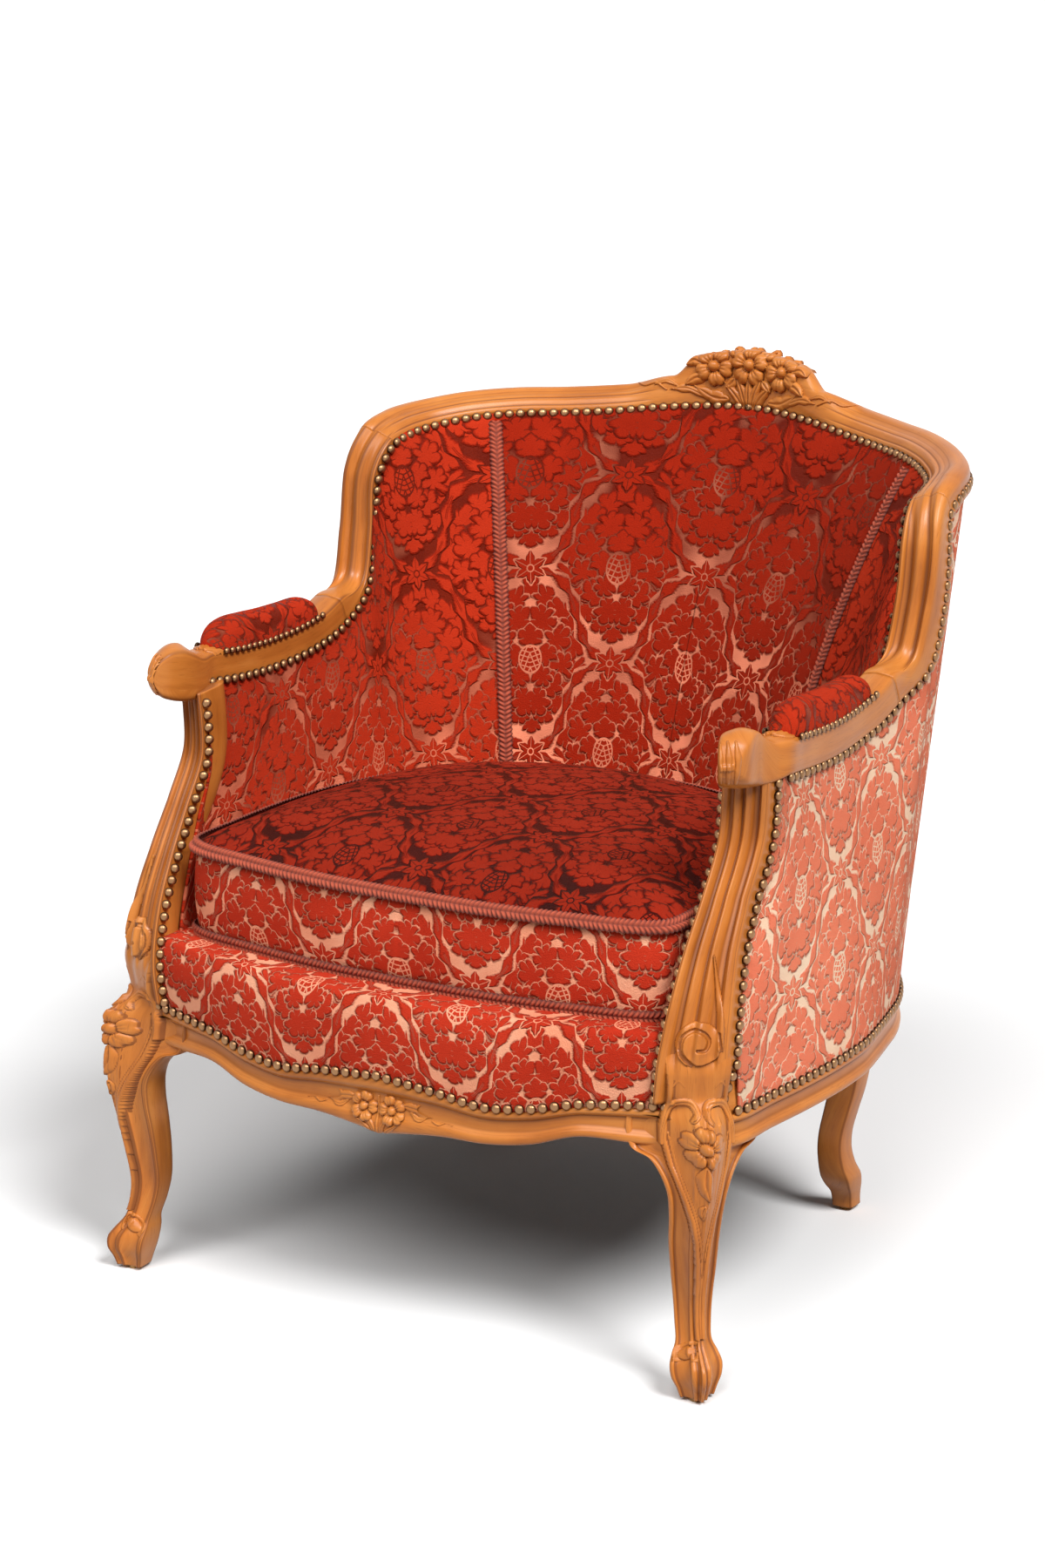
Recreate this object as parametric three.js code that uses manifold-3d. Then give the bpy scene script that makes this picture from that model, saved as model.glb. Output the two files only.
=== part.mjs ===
// Bergere armchair: a moulded show-wood frame on cabriole legs, a sprung and upholstered
// seat, back and arms, and one loose boxed seat cushion.
// Millimetres, +Z up, the front of the chair faces -Y. "right" is +X, the viewer's right.
import * as THREE from 'three';
import { mergeVertices } from 'three/addons/utils/BufferGeometryUtils.js';
import Module from 'manifold-3d';

const wasm = await Module();
wasm.setup();
const { lerp } = THREE.MathUtils;

// Driving sizes of the whole chair
const halfWidth = 380; // middle of the chair to the outside of a side rail
const frontReach = 372; // seat datum forward to the face of the front rail
const backReach = 413; // seat datum back to the top of the crest
const railBottom = 245;
const railHeight = 85;
const railTop = railBottom + railHeight;
const bareFaceHeight = 47; // height of the rails' bare face, up to the line where the covers are nailed
const nailHeight = railBottom + bareFaceHeight;
const armHeight = 617; // lower inner edge of the arms
const shoulderHeight = 844; // lower inner edge of the top rail
const crestHeight = 59; // carved crest above the top rail's lower edge, at the middle

// Show-wood members
const memberWidth = 44; // width across the wings and the top rail
const armWidth = 38;
const faceHeight = 27; // height of the moulded face on the arms and wings
const topFaceHeight = 21; // the same on the top rail
const supportWidth = 47; // width of an arm support under the arm
const supportDepth = 40;
const supportTurn = 28; // degrees that an arm support's face turns outward
const scrollTurn = 40; // degrees that the scrolled end of an arm turns outward
const railThickness = 44;
const rebateDepth = 5; // the covers lie in this rebate over the nail line
const kneeWidth = 57;
const legTopHeight = 14;
const legTop = nailHeight + legTopHeight;
const rearLegWidth = 38;
const glideRadius = 9;
const glideHeight = 4;
const scrollEyeRadius = 15;
const scrollEyeDepth = 9;

// Joinery
const tenonLength = 20;
const tenonThickness = 10;
const tenonHeight = 32;
const dowelRadius = 5;
const dowelLength = 34;
const dowelSides = 8;
const smallDowelShare = 0.7;
const blockHeight = 27;
const blockBottom = railBottom + blockHeight; // underside of the glued corner blocks
const blockReach = 88;

// Seat
const webbingHeight = 21;
const webbingLevel = railBottom + webbingHeight; // top of the webbing, on the rails' stepped underside
const webbingWidth = 52;
const webbingThickness = 2.4;
const springSpreadWidth = 96;
const springFrontDepth = -190;
const springRearDepth = 15;
const springRadius = 40;
const springWireThickness = 3.4;
const springTurns = 3;
const canvasHeight = 21;
const canvasLevel = railTop + canvasHeight; // top of the springs, where the canvas lies
const canvasThickness = 1.6;
const deckHeight = 42;
const deckLevel = railTop + deckHeight; // top of the stuffed seat
const coverThickness = 3; // covering cloth with its wadding

// Upholstery
const panelDepth = 18; // stuffing behind the inside covers, at the frame
const backSwellDepth = 36; // how far the stuffing swells out of the inside back
const armSwellDepth = 7;
const padHeight = 34; // arm pad over the arm's wood
const braidWidth = 13;
const braidThickness = 3;

// Seat cushion
const cushionHeight = 96; // height of the boxed side
const cushionCrownHeight = 46; // rise of the top over its seam
const cushionGap = 8; // space kept to the inside covers
const cushionLayGap = 1.2; // space kept over the seat deck

// Clearances
const fitGap = 0.4; // between touching pieces
const overrunLength = 60; // how far a cutter runs past what it cuts

// Points on the plan, as shares of the half width and of the reach to the front or back
function spot(xShare, yShare, z) {
  const reach = yShare < 0 ? frontReach : backReach;
  return new THREE.Vector3(halfWidth * xShare, reach * yShare, z);
}

// Closed bodies lofted through rings of points, capped at both ends unless they close on themselves
function flatTriangles(ring) {
  const normal = new THREE.Vector3();
  ring.forEach((point, i) => {
    normal.add(new THREE.Vector3().crossVectors(point, ring[(i + 1) % ring.length]));
  });
  normal.normalize();
  const side = new THREE.Vector3().subVectors(ring[1], ring[0]).projectOnPlane(normal).normalize();
  const rise = new THREE.Vector3().crossVectors(normal, side);
  const outline = ring.map((point) => new THREE.Vector2(point.dot(side), point.dot(rise)));
  return THREE.ShapeUtils.triangulateShape(outline, []);
}

function volumeOf(positions, triangles) {
  const [a, b, c] = [new THREE.Vector3(), new THREE.Vector3(), new THREE.Vector3()];
  return triangles.reduce((sum, [i, j, k]) => {
    a.fromArray(positions, 3 * i);
    b.fromArray(positions, 3 * j);
    c.fromArray(positions, 3 * k);
    return sum + a.dot(b.cross(c));
  }, 0);
}

function loft(rings, closed = false) {
  const count = rings[0].length;
  const positions = rings.flat().flatMap((point) => point.toArray());
  let triangles = [];
  const steps = closed ? rings.length : rings.length - 1;
  for (let step = 0; step < steps; step += 1) {
    const low = step * count;
    const high = ((step + 1) % rings.length) * count;
    for (let i = 0; i < count; i += 1) {
      const j = (i + 1) % count;
      triangles.push([low + i, low + j, high + j], [low + i, high + j, high + i]);
    }
  }
  if (!closed) {
    const last = (rings.length - 1) * count;
    flatTriangles(rings[0]).forEach(([i, j, k]) => triangles.push([i, k, j]));
    flatTriangles(rings.at(-1)).forEach(([i, j, k]) => triangles.push([last + i, last + j, last + k]));
  }
  if (volumeOf(positions, triangles) < 0) {
    triangles = triangles.map(([i, j, k]) => [i, k, j]);
  }
  return sharedGeometry(positions, triangles.flat());
}

// Plain copies: bare positions with shared corners, mirrored to the other side, or grown all round
function sharedGeometry(positions, index) {
  const geometry = new THREE.BufferGeometry();
  geometry.setAttribute('position', new THREE.Float32BufferAttribute(positions, 3));
  geometry.setIndex(index);
  geometry.userData = { shared: true };
  return geometry;
}

function bare(geometry) {
  const copy = geometry.clone();
  if (geometry.userData.shared) {
    return copy;
  }
  copy.deleteAttribute('normal');
  copy.deleteAttribute('uv');
  const merged = mergeVertices(copy);
  merged.userData = { shared: true };
  return merged;
}

function mirrored(geometry) {
  const copy = bare(geometry);
  copy.scale(-1, 1, 1);
  const index = Array.from(copy.index.array);
  const flipped = index.map((vertex, i) => index[i - (i % 3) + [0, 2, 1][i % 3]]);
  copy.setIndex(flipped);
  return copy;
}

function grown(geometry, by) {
  const copy = bare(geometry);
  const place = copy.attributes.position;
  const index = copy.index.array;
  const normals = Array.from({ length: place.count }, () => []);
  const corner = (i) => new THREE.Vector3().fromBufferAttribute(place, i);
  for (let i = 0; i < index.length; i += 3) {
    const [a, b, c] = [corner(index[i]), corner(index[i + 1]), corner(index[i + 2])];
    const normal = b.sub(a).cross(c.sub(a)).normalize();
    for (let k = 0; k < 3; k += 1) {
      normals[index[i + k]].push(normal);
    }
  }
  const sharpestShare = 0.35;
  normals.forEach((faces, i) => {
    const outward = faces.reduce((sum, normal) => sum.add(normal), new THREE.Vector3()).normalize();
    const least = Math.max(sharpestShare, Math.min(...faces.map((normal) => normal.dot(outward))));
    const moved = corner(i).addScaledVector(outward, by / least);
    place.setXYZ(i, moved.x, moved.y, moved.z);
  });
  return copy;
}

// Joining and cutting
function solidOf(geometry) {
  const copy = bare(geometry);
  return new wasm.Manifold(new wasm.Mesh({
    numProp: 3,
    vertProperties: new Float32Array(copy.attributes.position.array),
    triVerts: new Uint32Array(copy.index.array),
  }));
}

function geometryOf(solid) {
  const bodies = solid.decompose();
  const largest = bodies.reduce((best, body) => (body.volume() > best.volume() ? body : best));
  const mesh = largest.getMesh();
  return closedUp(Array.from(mesh.vertProperties), Array.from(mesh.triVerts));
}

// Closes up the very short edges that a cut leaves, with the slivers of faces along them
function closedUp(positions, index) {
  const shortest = fitGap / 8;
  const root = Array.from({ length: positions.length / 3 }, (_, i) => i);
  const find = (i) => {
    let at = i;
    while (root[at] !== at) {
      at = root[at];
    }
    return at;
  };
  const pointAt = (i) => new THREE.Vector3().fromArray(positions, 3 * i);
  for (let i = 0; i < index.length; i += 1) {
    const [a, b] = [index[i], index[i - (i % 3) + ((i + 1) % 3)]];
    if (pointAt(a).distanceTo(pointAt(b)) < shortest) {
      root[find(a)] = find(b);
    }
  }
  const faces = new Map();
  for (let i = 0; i < index.length; i += 3) {
    const face = [find(index[i]), find(index[i + 1]), find(index[i + 2])];
    const key = [...face].sort((a, b) => a - b).join(' ');
    if (new Set(face).size === 3) {
      if (faces.has(key)) {
        faces.delete(key);
      } else {
        faces.set(key, face);
      }
    }
  }
  const used = [...new Set([...faces.values()].flat())];
  const place = new Map(used.map((vertex, i) => [vertex, i]));
  return sharedGeometry(
    used.flatMap((vertex) => pointAt(vertex).toArray()),
    [...faces.values()].flat().map((vertex) => place.get(vertex)),
  );
}

function cut(geometry, ...neighbours) {
  const start = solidOf(geometry);
  const left = neighbours.reduce((rest, piece) => rest.subtract(solidOf(grown(piece, fitGap))), start);
  return geometryOf(left);
}

function joined(...geometries) {
  return geometryOf(geometries.map(solidOf).reduce((sum, next) => sum.add(next)));
}

// The outer face of the seat rails on the plan, from the middle of the front to the middle of the rear
const railPlanShares = [
  [0, -1], [0.185, -0.995], [0.33, -0.984], [0.458, -0.965], [0.59, -0.933], [0.763, -0.879],
  [0.91, -0.828], [0.966, -0.745], [0.98, -0.59], [0.995, -0.403], [1, -0.215], [0.99, -0.067],
  [0.966, 0.046], [0.94, 0.145], [0.912, 0.242], [0.872, 0.334], [0.822, 0.418], [0.764, 0.497],
  [0.697, 0.57], [0.592, 0.618], [0.4, 0.642], [0.2, 0.655], [0, 0.66],
];
const railCurve = new THREE.CatmullRomCurve3(
  railPlanShares.map(([x, y]) => spot(x, y, 0)),
  false,
  'centripetal',
);
const planLast = railPlanShares.length - 1;

function outwardOf(tangent) {
  return new THREE.Vector3(tangent.y, -tangent.x, 0).normalize();
}

// A point on the rails' plan, set in from the outer face
function planPoint(station, inset, z) {
  const point = railCurve.getPoint(station / planLast);
  const outward = outwardOf(railCurve.getTangent(station / planLast));
  return point.addScaledVector(outward, -inset).setZ(z);
}

// The lower inner edge of the show-wood, up the arm, the wing and the top rail to the crest.
// Each row: share of the half width, share of the reach, share of the rise from arm to shoulder
const frameEdgeShares = [
  [0.866, -0.49, 0.03], [0.858, -0.35, 0.01], [0.855, -0.195, 0.004], [0.848, -0.022, 0.026], [0.85, 0.133, 0.088],
  [0.85, 0.25, 0.229], [0.858, 0.3, 0.493], [0.86, 0.322, 0.766], [0.85, 0.375, 0.899],
  [0.845, 0.453, 0.938], [0.82, 0.538, 0.96], [0.745, 0.63, 0.987], [0.64, 0.72, 1], [0.52, 0.8, 1],
  [0.395, 0.86, 1.013], [0.26, 0.905, 1.04], [0.126, 0.944, 1.057], [0, 0.958, 1.066],
  [-0.126, 0.944, 1.057],
];
const frameCurve = new THREE.CatmullRomCurve3(
  frameEdgeShares.map(([x, y, rise]) => spot(x, y, lerp(armHeight, shoulderHeight, rise))),
  false,
  'centripetal',
);
const crestStation = frameEdgeShares.length - 2;
const wingStart = 4.15; // station of the joint between arm and wing
const wingEnd = 8.15; // station of the joint between wing and top rail

// Sections of the show-wood from the lower inner edge, over the face, to the back.
// Each pair: share of the member's width outward, share of its face height
const armSectionShares = [
  [0, 0], [0, 0.35], [0, 0.7], [0.02, 0.88], [0.08, 1], [0.28, 1.08], [0.5, 1.12], [0.72, 1.08],
  [0.92, 1], [0.98, 0.88], [1, 0.7], [1, 0.35], [1, 0], [0.94, -0.3], [0.5, -0.38], [0.06, -0.3],
];
const wingSectionShares = [
  [0, 0], [0.04, 0.2], [0.1, 0.26], [0.17, 0.1], [0.3, 0.04], [0.42, 0.22], [0.5, 0.28], [0.58, 0.22],
  [0.7, 0.04], [0.8, 0.12], [0.87, 0.3], [0.95, 0.24], [1, 0], [1, -0.8], [0.92, -1.35], [0.08, -1.35],
];
const topSectionShares = [
  [0, 0], [0.01, 0.22], [0.06, 0.3], [0.09, 0.42], [0.15, 0.58], [0.24, 0.62], [0.3, 0.7], [0.38, 0.76],
  [0.46, 0.86], [0.54, 1], [0.66, 1.05], [0.82, 0.98], [0.95, 0.72], [0.98, 0.2], [0.96, -0.35], [0.15, -0.35],
];
const crestSectionShares = [
  [0, 0], [-0.02, 0.12], [-0.02, 0.25], [0, 0.38], [0.02, 0.5], [0.04, 0.62], [0.06, 0.74], [0.09, 0.85],
  [0.14, 0.95], [0.22, 1], [0.36, 1], [0.5, 0.9], [0.62, 0.6], [0.74, 0.2], [0.8, -0.17], [0.15, -0.17],
];

// Keys along the show-wood: station, section, width and height of the face
const sectionKeys = [
  [0, armSectionShares, armWidth, faceHeight], [4.15, armSectionShares, armWidth, faceHeight],
  [5.3, wingSectionShares, memberWidth, faceHeight], [7.6, wingSectionShares, memberWidth, faceHeight],
  [9.2, topSectionShares, memberWidth, topFaceHeight], [14.2, topSectionShares, memberWidth, topFaceHeight],
  [15.2, crestSectionShares, memberWidth, lerp(topFaceHeight, crestHeight, 0.25)],
  [15.8, crestSectionShares, memberWidth, lerp(topFaceHeight, crestHeight, 0.85)],
  [crestStation, crestSectionShares, memberWidth, crestHeight],
];

function sectionAt(station) {
  const next = Math.max(1, sectionKeys.findIndex(([key]) => key >= station));
  const [from, fromShares, fromWidth, fromHeight] = sectionKeys[next - 1];
  const [to, toShares, toWidth, toHeight] = sectionKeys[next];
  const share = THREE.MathUtils.smoothstep(station, from, to);
  return {
    shares: fromShares.map(([o, f], i) => [lerp(o, toShares[i][0], share), lerp(f, toShares[i][1], share)]),
    width: lerp(fromWidth, toWidth, share),
    height: lerp(fromHeight, toHeight, share),
  };
}

// Position, direction, outward and facing directions at a station of the show-wood
function frameAt(station) {
  const along = frameCurve.getTangent(station / (crestStation + 1));
  const out = outwardOf(along);
  const facing = new THREE.Vector3().crossVectors(out, along);
  return { place: frameCurve.getPoint(station / (crestStation + 1)), along, out, facing };
}

function ringOf(place, out, facing, shares, width, height) {
  return shares.map(([o, f]) => (
    place.clone().addScaledVector(out, o * width).addScaledVector(facing, f * height)
  ));
}

function frameRing(station, shift = 0) {
  const { place, along, out, facing } = frameAt(station);
  const { shares, width, height } = sectionAt(station);
  return ringOf(place.addScaledVector(along, shift), out, facing, shares, width, height);
}

function frameRings(from, to, step) {
  const count = Math.round((to - from) / step);
  return Array.from({ length: count + 1 }, (_, i) => frameRing(lerp(from, to, i / count)));
}

function centreOf(ring) {
  return ring.reduce((sum, point) => sum.add(point), new THREE.Vector3()).divideScalar(ring.length);
}

// Arm support: share of the half width and of the front reach at its inner edge,
// share of the rise from the rail top to the arm, share of its width
const supportEdgeShares = [
  [0.788, -0.886, -0.08, 1.3], [0.8, -0.887, 0.066, 1.5], [0.81, -0.845, 0.25, 1.34],
  [0.815, -0.775, 0.425, 1.14], [0.82, -0.69, 0.59, 1], [0.82, -0.605, 0.77, 1], [0.825, -0.595, 0.92, 1],
  [0.83, -0.6, 1.03, 1],
];
const supportCurve = new THREE.CatmullRomCurve3(
  supportEdgeShares.map(([x, y, rise]) => spot(x, y, lerp(railTop, armHeight, rise))),
  false,
  'centripetal',
);
const supportLast = supportEdgeShares.length - 1;
const supportOut = new THREE.Vector3(1, 0, 0).applyAxisAngle(
  new THREE.Vector3(0, 0, 1),
  THREE.MathUtils.degToRad(supportTurn),
);
const supportSectionShares = [
  [0, 0], [0.05, 0.16], [0.12, 0.2], [0.2, 0.06], [0.3, 0.04], [0.4, 0.18], [0.5, 0.22], [0.6, 0.18],
  [0.7, 0.04], [0.8, 0.08], [0.88, 0.22], [0.96, 0.16], [1, 0], [1, -0.85], [0.92, -1], [0.06, -1],
];

function supportRing(station) {
  const along = supportCurve.getTangent(station / supportLast);
  const facing = new THREE.Vector3(0, -along.z, along.y).normalize();
  const row = Math.min(Math.floor(station), supportLast - 1);
  const widthShare = lerp(supportEdgeShares[row][3], supportEdgeShares[row + 1][3], station - row);
  const place = supportCurve.getPoint(station / supportLast);
  return ringOf(place, supportOut, facing, supportSectionShares, supportWidth * widthShare, supportDepth);
}

function supportShaft() {
  const count = 10;
  return loft(Array.from({ length: count + 1 }, (_, i) => supportRing((i * supportLast) / count)));
}

const eyeStation = 1.4; // station of the support's scroll eye
const eyeFlareShare = 1.1;

function makeSupport(leg, arm) {
  const eyeCentre = centreOf(supportRing(eyeStation));
  const facing = new THREE.Vector3(supportOut.y, -supportOut.x, 0);
  const eyeLength = supportDepth / 2 + scrollEyeDepth;
  const eye = new THREE.CylinderGeometry(scrollEyeRadius, scrollEyeRadius * eyeFlareShare, eyeLength, 16);
  eye.applyQuaternion(new THREE.Quaternion().setFromUnitVectors(new THREE.Vector3(0, 1, 0), facing));
  const reach = scrollEyeDepth - eyeLength / 2;
  eye.translate(eyeCentre.x + facing.x * reach, eyeCentre.y + facing.y * reach, eyeCentre.z);
  return cut(joined(supportShaft(), eye), leg, arm);
}

// The arm's scrolled front end, before the frame curve takes over.
// Each row: share of the half width at the inner side, share of the front reach, share of
// the arm's height for its underside and its top, share of the width, share of the scroll's turn
const scrollShares = [
  [0.89, -0.739, 1.03, 1.052, 0.6, 1], [0.878, -0.725, 1.01, 1.077, 0.9, 1], [0.862, -0.695, 0.998, 1.09, 1.12, 1],
  [0.85, -0.655, 0.99, 1.093, 1.2, 0.9], [0.845, -0.61, 0.985, 1.082, 1.15, 0.6], [0.852, -0.55, 0.985, 1.068, 1.08, 0.3],
];
const armSoleShare = 0.38; // underside of the arm's section below its edge
const armRiseShare = 1.5; // whole height of the arm's section

function scrollRing([x, y, sole, top, width, turn]) {
  const height = (top - sole) * armHeight / armRiseShare;
  const place = spot(x, y, sole * armHeight + armSoleShare * height);
  const up = new THREE.Vector3(0, 0, 1);
  const out = new THREE.Vector3(1, 0, 0).applyAxisAngle(up, THREE.MathUtils.degToRad(turn * scrollTurn));
  return ringOf(place, out, up, armSectionShares, width * armWidth, height);
}

const [armStep, wingStep, railStep] = [0.6, 0.4, 0.7]; // spacing of the rings, in stations

function makeArm() {
  const rings = [...scrollShares.map(scrollRing), ...frameRings(0, wingStart, armStep)];
  rings[rings.length - 1] = frameRing(wingStart, -fitGap / 2);
  return loft(rings);
}

function makeWing() {
  const rings = frameRings(wingStart, wingEnd, wingStep);
  rings[0] = frameRing(wingStart, fitGap / 2);
  rings[rings.length - 1] = frameRing(wingEnd, -fitGap / 2);
  return loft(rings);
}

function makeTopRail() {
  const right = frameRings(wingEnd, crestStation, railStep);
  right[0] = frameRing(wingEnd, fitGap / 2);
  const left = right.slice(0, -1).reverse().map((ring) => (
    ring.map((point) => new THREE.Vector3(-point.x, point.y, point.z))
  ));
  return loft([...right, ...left]);
}

// Cabriole legs. Each row: share of the half width, of the reach, of the height, of the knee's
// width, and of the brackets that reach out under the front rail and the side rail
const frontLegShares = [
  [0.916, -0.874, glideHeight / legTop, 0.49, 0], [0.916, -0.874, 0.045, 0.58, 0], [0.916, -0.877, 0.085, 0.72, 0],
  [0.912, -0.873, 0.124, 0.75, 0], [0.903, -0.864, 0.157, 0.66, 0], [0.893, -0.854, 0.195, 0.52, 0],
  [0.882, -0.839, 0.255, 0.52, 0], [0.876, -0.829, 0.327, 0.56, 0], [0.88, -0.834, 0.435, 0.65, 0],
  [0.887, -0.844, 0.542, 0.72, 0], [0.897, -0.851, 0.637, 0.77, 0], [0.902, -0.851, 0.71, 0.83, 0.05],
  [0.899, -0.842, 0.77, 0.9, 0.22], [0.896, -0.832, 0.815, 0.95, 0.5], [0.894, -0.826, 0.845, 0.98, 1],
  [0.888, -0.816, nailHeight / legTop, 1, 1], [0.888, -0.816, nailHeight / legTop, 0.97, 0],
  [0.873, -0.8, 1, 0.8, 0],
];
const bracketShare = 0.7; // reach of a full bracket past the leg's side, as a share of its width
const bracketBeadShare = 0.06; // rise of the bead along a full bracket's edge

// Half of the leg's section, from the inner corner past the bracket's moulded edge to the arris:
// each point's share of the width toward the side and toward the front, then its share of the bracket
const frontLegHalfShares = [
  [-0.44, -0.44, 0], [-0.5, -0.1, 1], [-0.5, 0.38, 1], [-0.42, 0.42, 1], [-0.28, 0.42, 1], [0.2, 0.47, 0],
  [0.32, 0.46, 0], [0.45, 0.53, 0],
];
const bracketBead = 3; // the point of the section on the bead
const bracketClearShare = 0.3; // how far the rails are cut away in front of a bracket

function frontLegSection(bracket, clear) {
  const half = frontLegHalfShares.map(([u, v, reach], i) => [
    u - reach * bracket * bracketShare,
    v + bracket * ((i === bracketBead ? bracketBeadShare : 0) + (v > 0 ? reach * clear : 0)),
  ]);
  return [...half, ...half.slice(1).reverse().map(([u, v]) => [v, u])];
}

// Rear legs run on above the rail as back posts, up to the top rail
const rearLegShares = [
  [0.595, 0.554, 0, 0.65], [0.595, 0.552, 0.035, 0.66], [0.597, 0.545, 0.075, 0.71], [0.597, 0.53, 0.12, 0.86],
  [0.597, 0.514, 0.17, 0.94], [0.592, 0.5, 0.23, 0.86], [0.588, 0.492, 0.31, 0.8], [0.59, 0.494, 0.39, 0.79],
  [0.6, 0.506, 0.49, 0.82], [0.61, 0.523, 0.6, 0.87], [0.618, 0.535, 0.78, 0.95], [0.621, 0.538, 1, 1],
];
const backPostShares = [
  [0.621, 0.543, 0.06, 1], [0.62, 0.563, 0.2, 0.94], [0.632, 0.622, 0.5, 0.86], [0.65, 0.692, 0.78, 0.8],
  [0.665, 0.746, 1, 0.74],
];
const rearLegSectionShares = [
  [-0.5, -0.34], [-0.34, -0.5], [0.34, -0.5], [0.5, -0.34], [0.5, 0.34], [0.34, 0.5], [-0.34, 0.5], [-0.5, 0.34],
];

function legRing(x, y, z, width, sectionShares) {
  const centre = spot(x, y, z);
  return sectionShares.map(([u, v]) => new THREE.Vector3(centre.x + u * width, centre.y - v * width, z));
}

function frontLegRings(clear = 0) {
  const start = glideHeight + fitGap;
  return frontLegShares.map(([x, y, z, w, bracket], i) => (
    legRing(x, y, i === 0 ? start : z * legTop, w * kneeWidth, frontLegSection(bracket, clear))
  ));
}

// Space that the rails leave for the leg, run on up past their top
function frontLegSpace() {
  const rings = frontLegRings(bracketClearShare);
  const above = rings.at(-1).map((point) => point.clone().setZ(railTop + overrunLength));
  return grown(loft([...rings, above]), fitGap / 2);
}

function makeRearLeg() {
  const start = glideHeight + fitGap;
  const leg = rearLegShares.map(([x, y, z, w]) => (
    legRing(x, y, lerp(start, railBottom, z), w * rearLegWidth, rearLegSectionShares)
  ));
  const post = backPostShares.map(([x, y, z, w]) => (
    legRing(x, y, lerp(railBottom, shoulderHeight, z), w * rearLegWidth, rearLegSectionShares)
  ));
  return loft([...leg, ...post]);
}

const glideTaperShare = 0.9;

function makeGlide(x, y) {
  const glide = new THREE.CylinderGeometry(glideRadius, glideRadius * glideTaperShare, glideHeight, 12);
  glide.rotateX(Math.PI / 2);
  const centre = spot(x, y, glideHeight / 2);
  glide.translate(centre.x, centre.y, centre.z);
  return glide;
}

// Seat rails: bare face up to the nail line, a rebate above it for the covers,
// and the inner half of the underside stepped up to carry the webbing
function railRing(station, bottom) {
  const middle = railThickness / 2;
  const rows = [
    [0, bottom], [0, nailHeight], [rebateDepth, nailHeight], [rebateDepth, railTop],
    [railThickness, railTop], [railThickness, webbingLevel], [middle, webbingLevel], [middle, bottom],
  ];
  return rows.map(([inset, z]) => planPoint(station, inset, z));
}

// Share of the bare face by which the front rail's underside rises or drops, by station
const apronShares = [-0.28, -0.1, -0.08, 0.06, 0.36, 0.3, 0.28];
const sideBottom = railBottom + 0.32 * bareFaceHeight;

function apronBottom(station) {
  const row = Math.min(Math.floor(station), apronShares.length - 2);
  return railBottom + bareFaceHeight * lerp(apronShares[row], apronShares[row + 1], station - row);
}

function mirrorRing(ring) {
  return ring.map((point) => new THREE.Vector3(-point.x, point.y, point.z));
}

function frontRailBlank() {
  const last = apronShares.length - 1;
  const stations = Array.from({ length: 9 }, (_, i) => (i * last) / 8);
  const right = stations.map((station) => railRing(station, apronBottom(station)));
  const left = right.slice(1).reverse().map(mirrorRing);
  return loft([...left, ...right]);
}

const sideRailStart = 6.4;
const legBracketBottom = apronBottom(6);

// The side rail's underside sweeps up from the front leg
function sideRailRing(station) {
  const sweep = THREE.MathUtils.smoothstep(station, sideRailStart, 8);
  return railRing(station, lerp(legBracketBottom, sideBottom, sweep));
}

const sideRailEnd = 18.3;
const rearRailStart = 18.5;

function sideRailBlank() {
  const count = 15;
  const rings = Array.from({ length: count + 1 }, (_, i) => (
    sideRailRing(lerp(sideRailStart, sideRailEnd, i / count))
  ));
  return loft(rings);
}

function rearRailBlank() {
  const count = 6;
  const right = Array.from({ length: count + 1 }, (_, i) => (
    railRing(lerp(rearRailStart, planLast, i / count), sideBottom)
  ));
  const left = right.slice(0, -1).reverse().map(mirrorRing);
  return loft([...right, ...left]);
}

// Tenon block of a rail, from a point on the leg's face into the leg
function makeTenon(centre, direction) {
  const tenon = new THREE.BoxGeometry(2 * tenonLength, tenonThickness, tenonHeight);
  tenon.rotateZ(Math.atan2(direction.y, direction.x));
  tenon.translate(centre.x, centre.y, centre.z);
  return tenon;
}

// Triangular block glued into a corner of the seat frame
function makeCornerBlock(corner, toX, toY, ...neighbours) {
  const shape = new THREE.Shape([
    new THREE.Vector2(corner.x, corner.y),
    new THREE.Vector2(corner.x + toX, corner.y),
    new THREE.Vector2(corner.x, corner.y + toY),
  ]);
  const height = railTop - rebateDepth - blockBottom;
  const block = new THREE.ExtrudeGeometry(shape, { depth: height, bevelEnabled: false });
  block.translate(0, 0, blockBottom);
  return cut(block, ...neighbours);
}

function makeDowel(centre, direction, share = 1) {
  const radius = share * dowelRadius;
  const dowel = new THREE.CylinderGeometry(radius, radius, share * dowelLength, dowelSides);
  dowel.applyQuaternion(new THREE.Quaternion().setFromUnitVectors(new THREE.Vector3(0, 1, 0), direction));
  dowel.translate(centre.x, centre.y, centre.z);
  return dowel;
}

// Webbing: the long straps lie flat, the cross straps dip under them
function strapRing(centre, across, z) {
  const half = webbingWidth / 2;
  return [[-half, 0], [half, 0], [half, -webbingThickness], [-half, -webbingThickness]].map(([side, drop]) => (
    new THREE.Vector3(centre.x + across.x * side, centre.y + across.y * side, z + drop)
  ));
}

const strapTop = webbingLevel - fitGap;
const strapGrip = railThickness / 4; // how far in from the outer face a strap ends, past the rail's middle

function makeLongStrap(x) {
  const front = -frontReach + railThickness / 2 + strapGrip;
  const back = backReach * railPlanShares.at(-1)[1] - railThickness / 2 - strapGrip;
  const across = new THREE.Vector2(1, 0);
  return loft([front, back].map((y) => strapRing(new THREE.Vector2(x, y), across, strapTop)));
}

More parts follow.
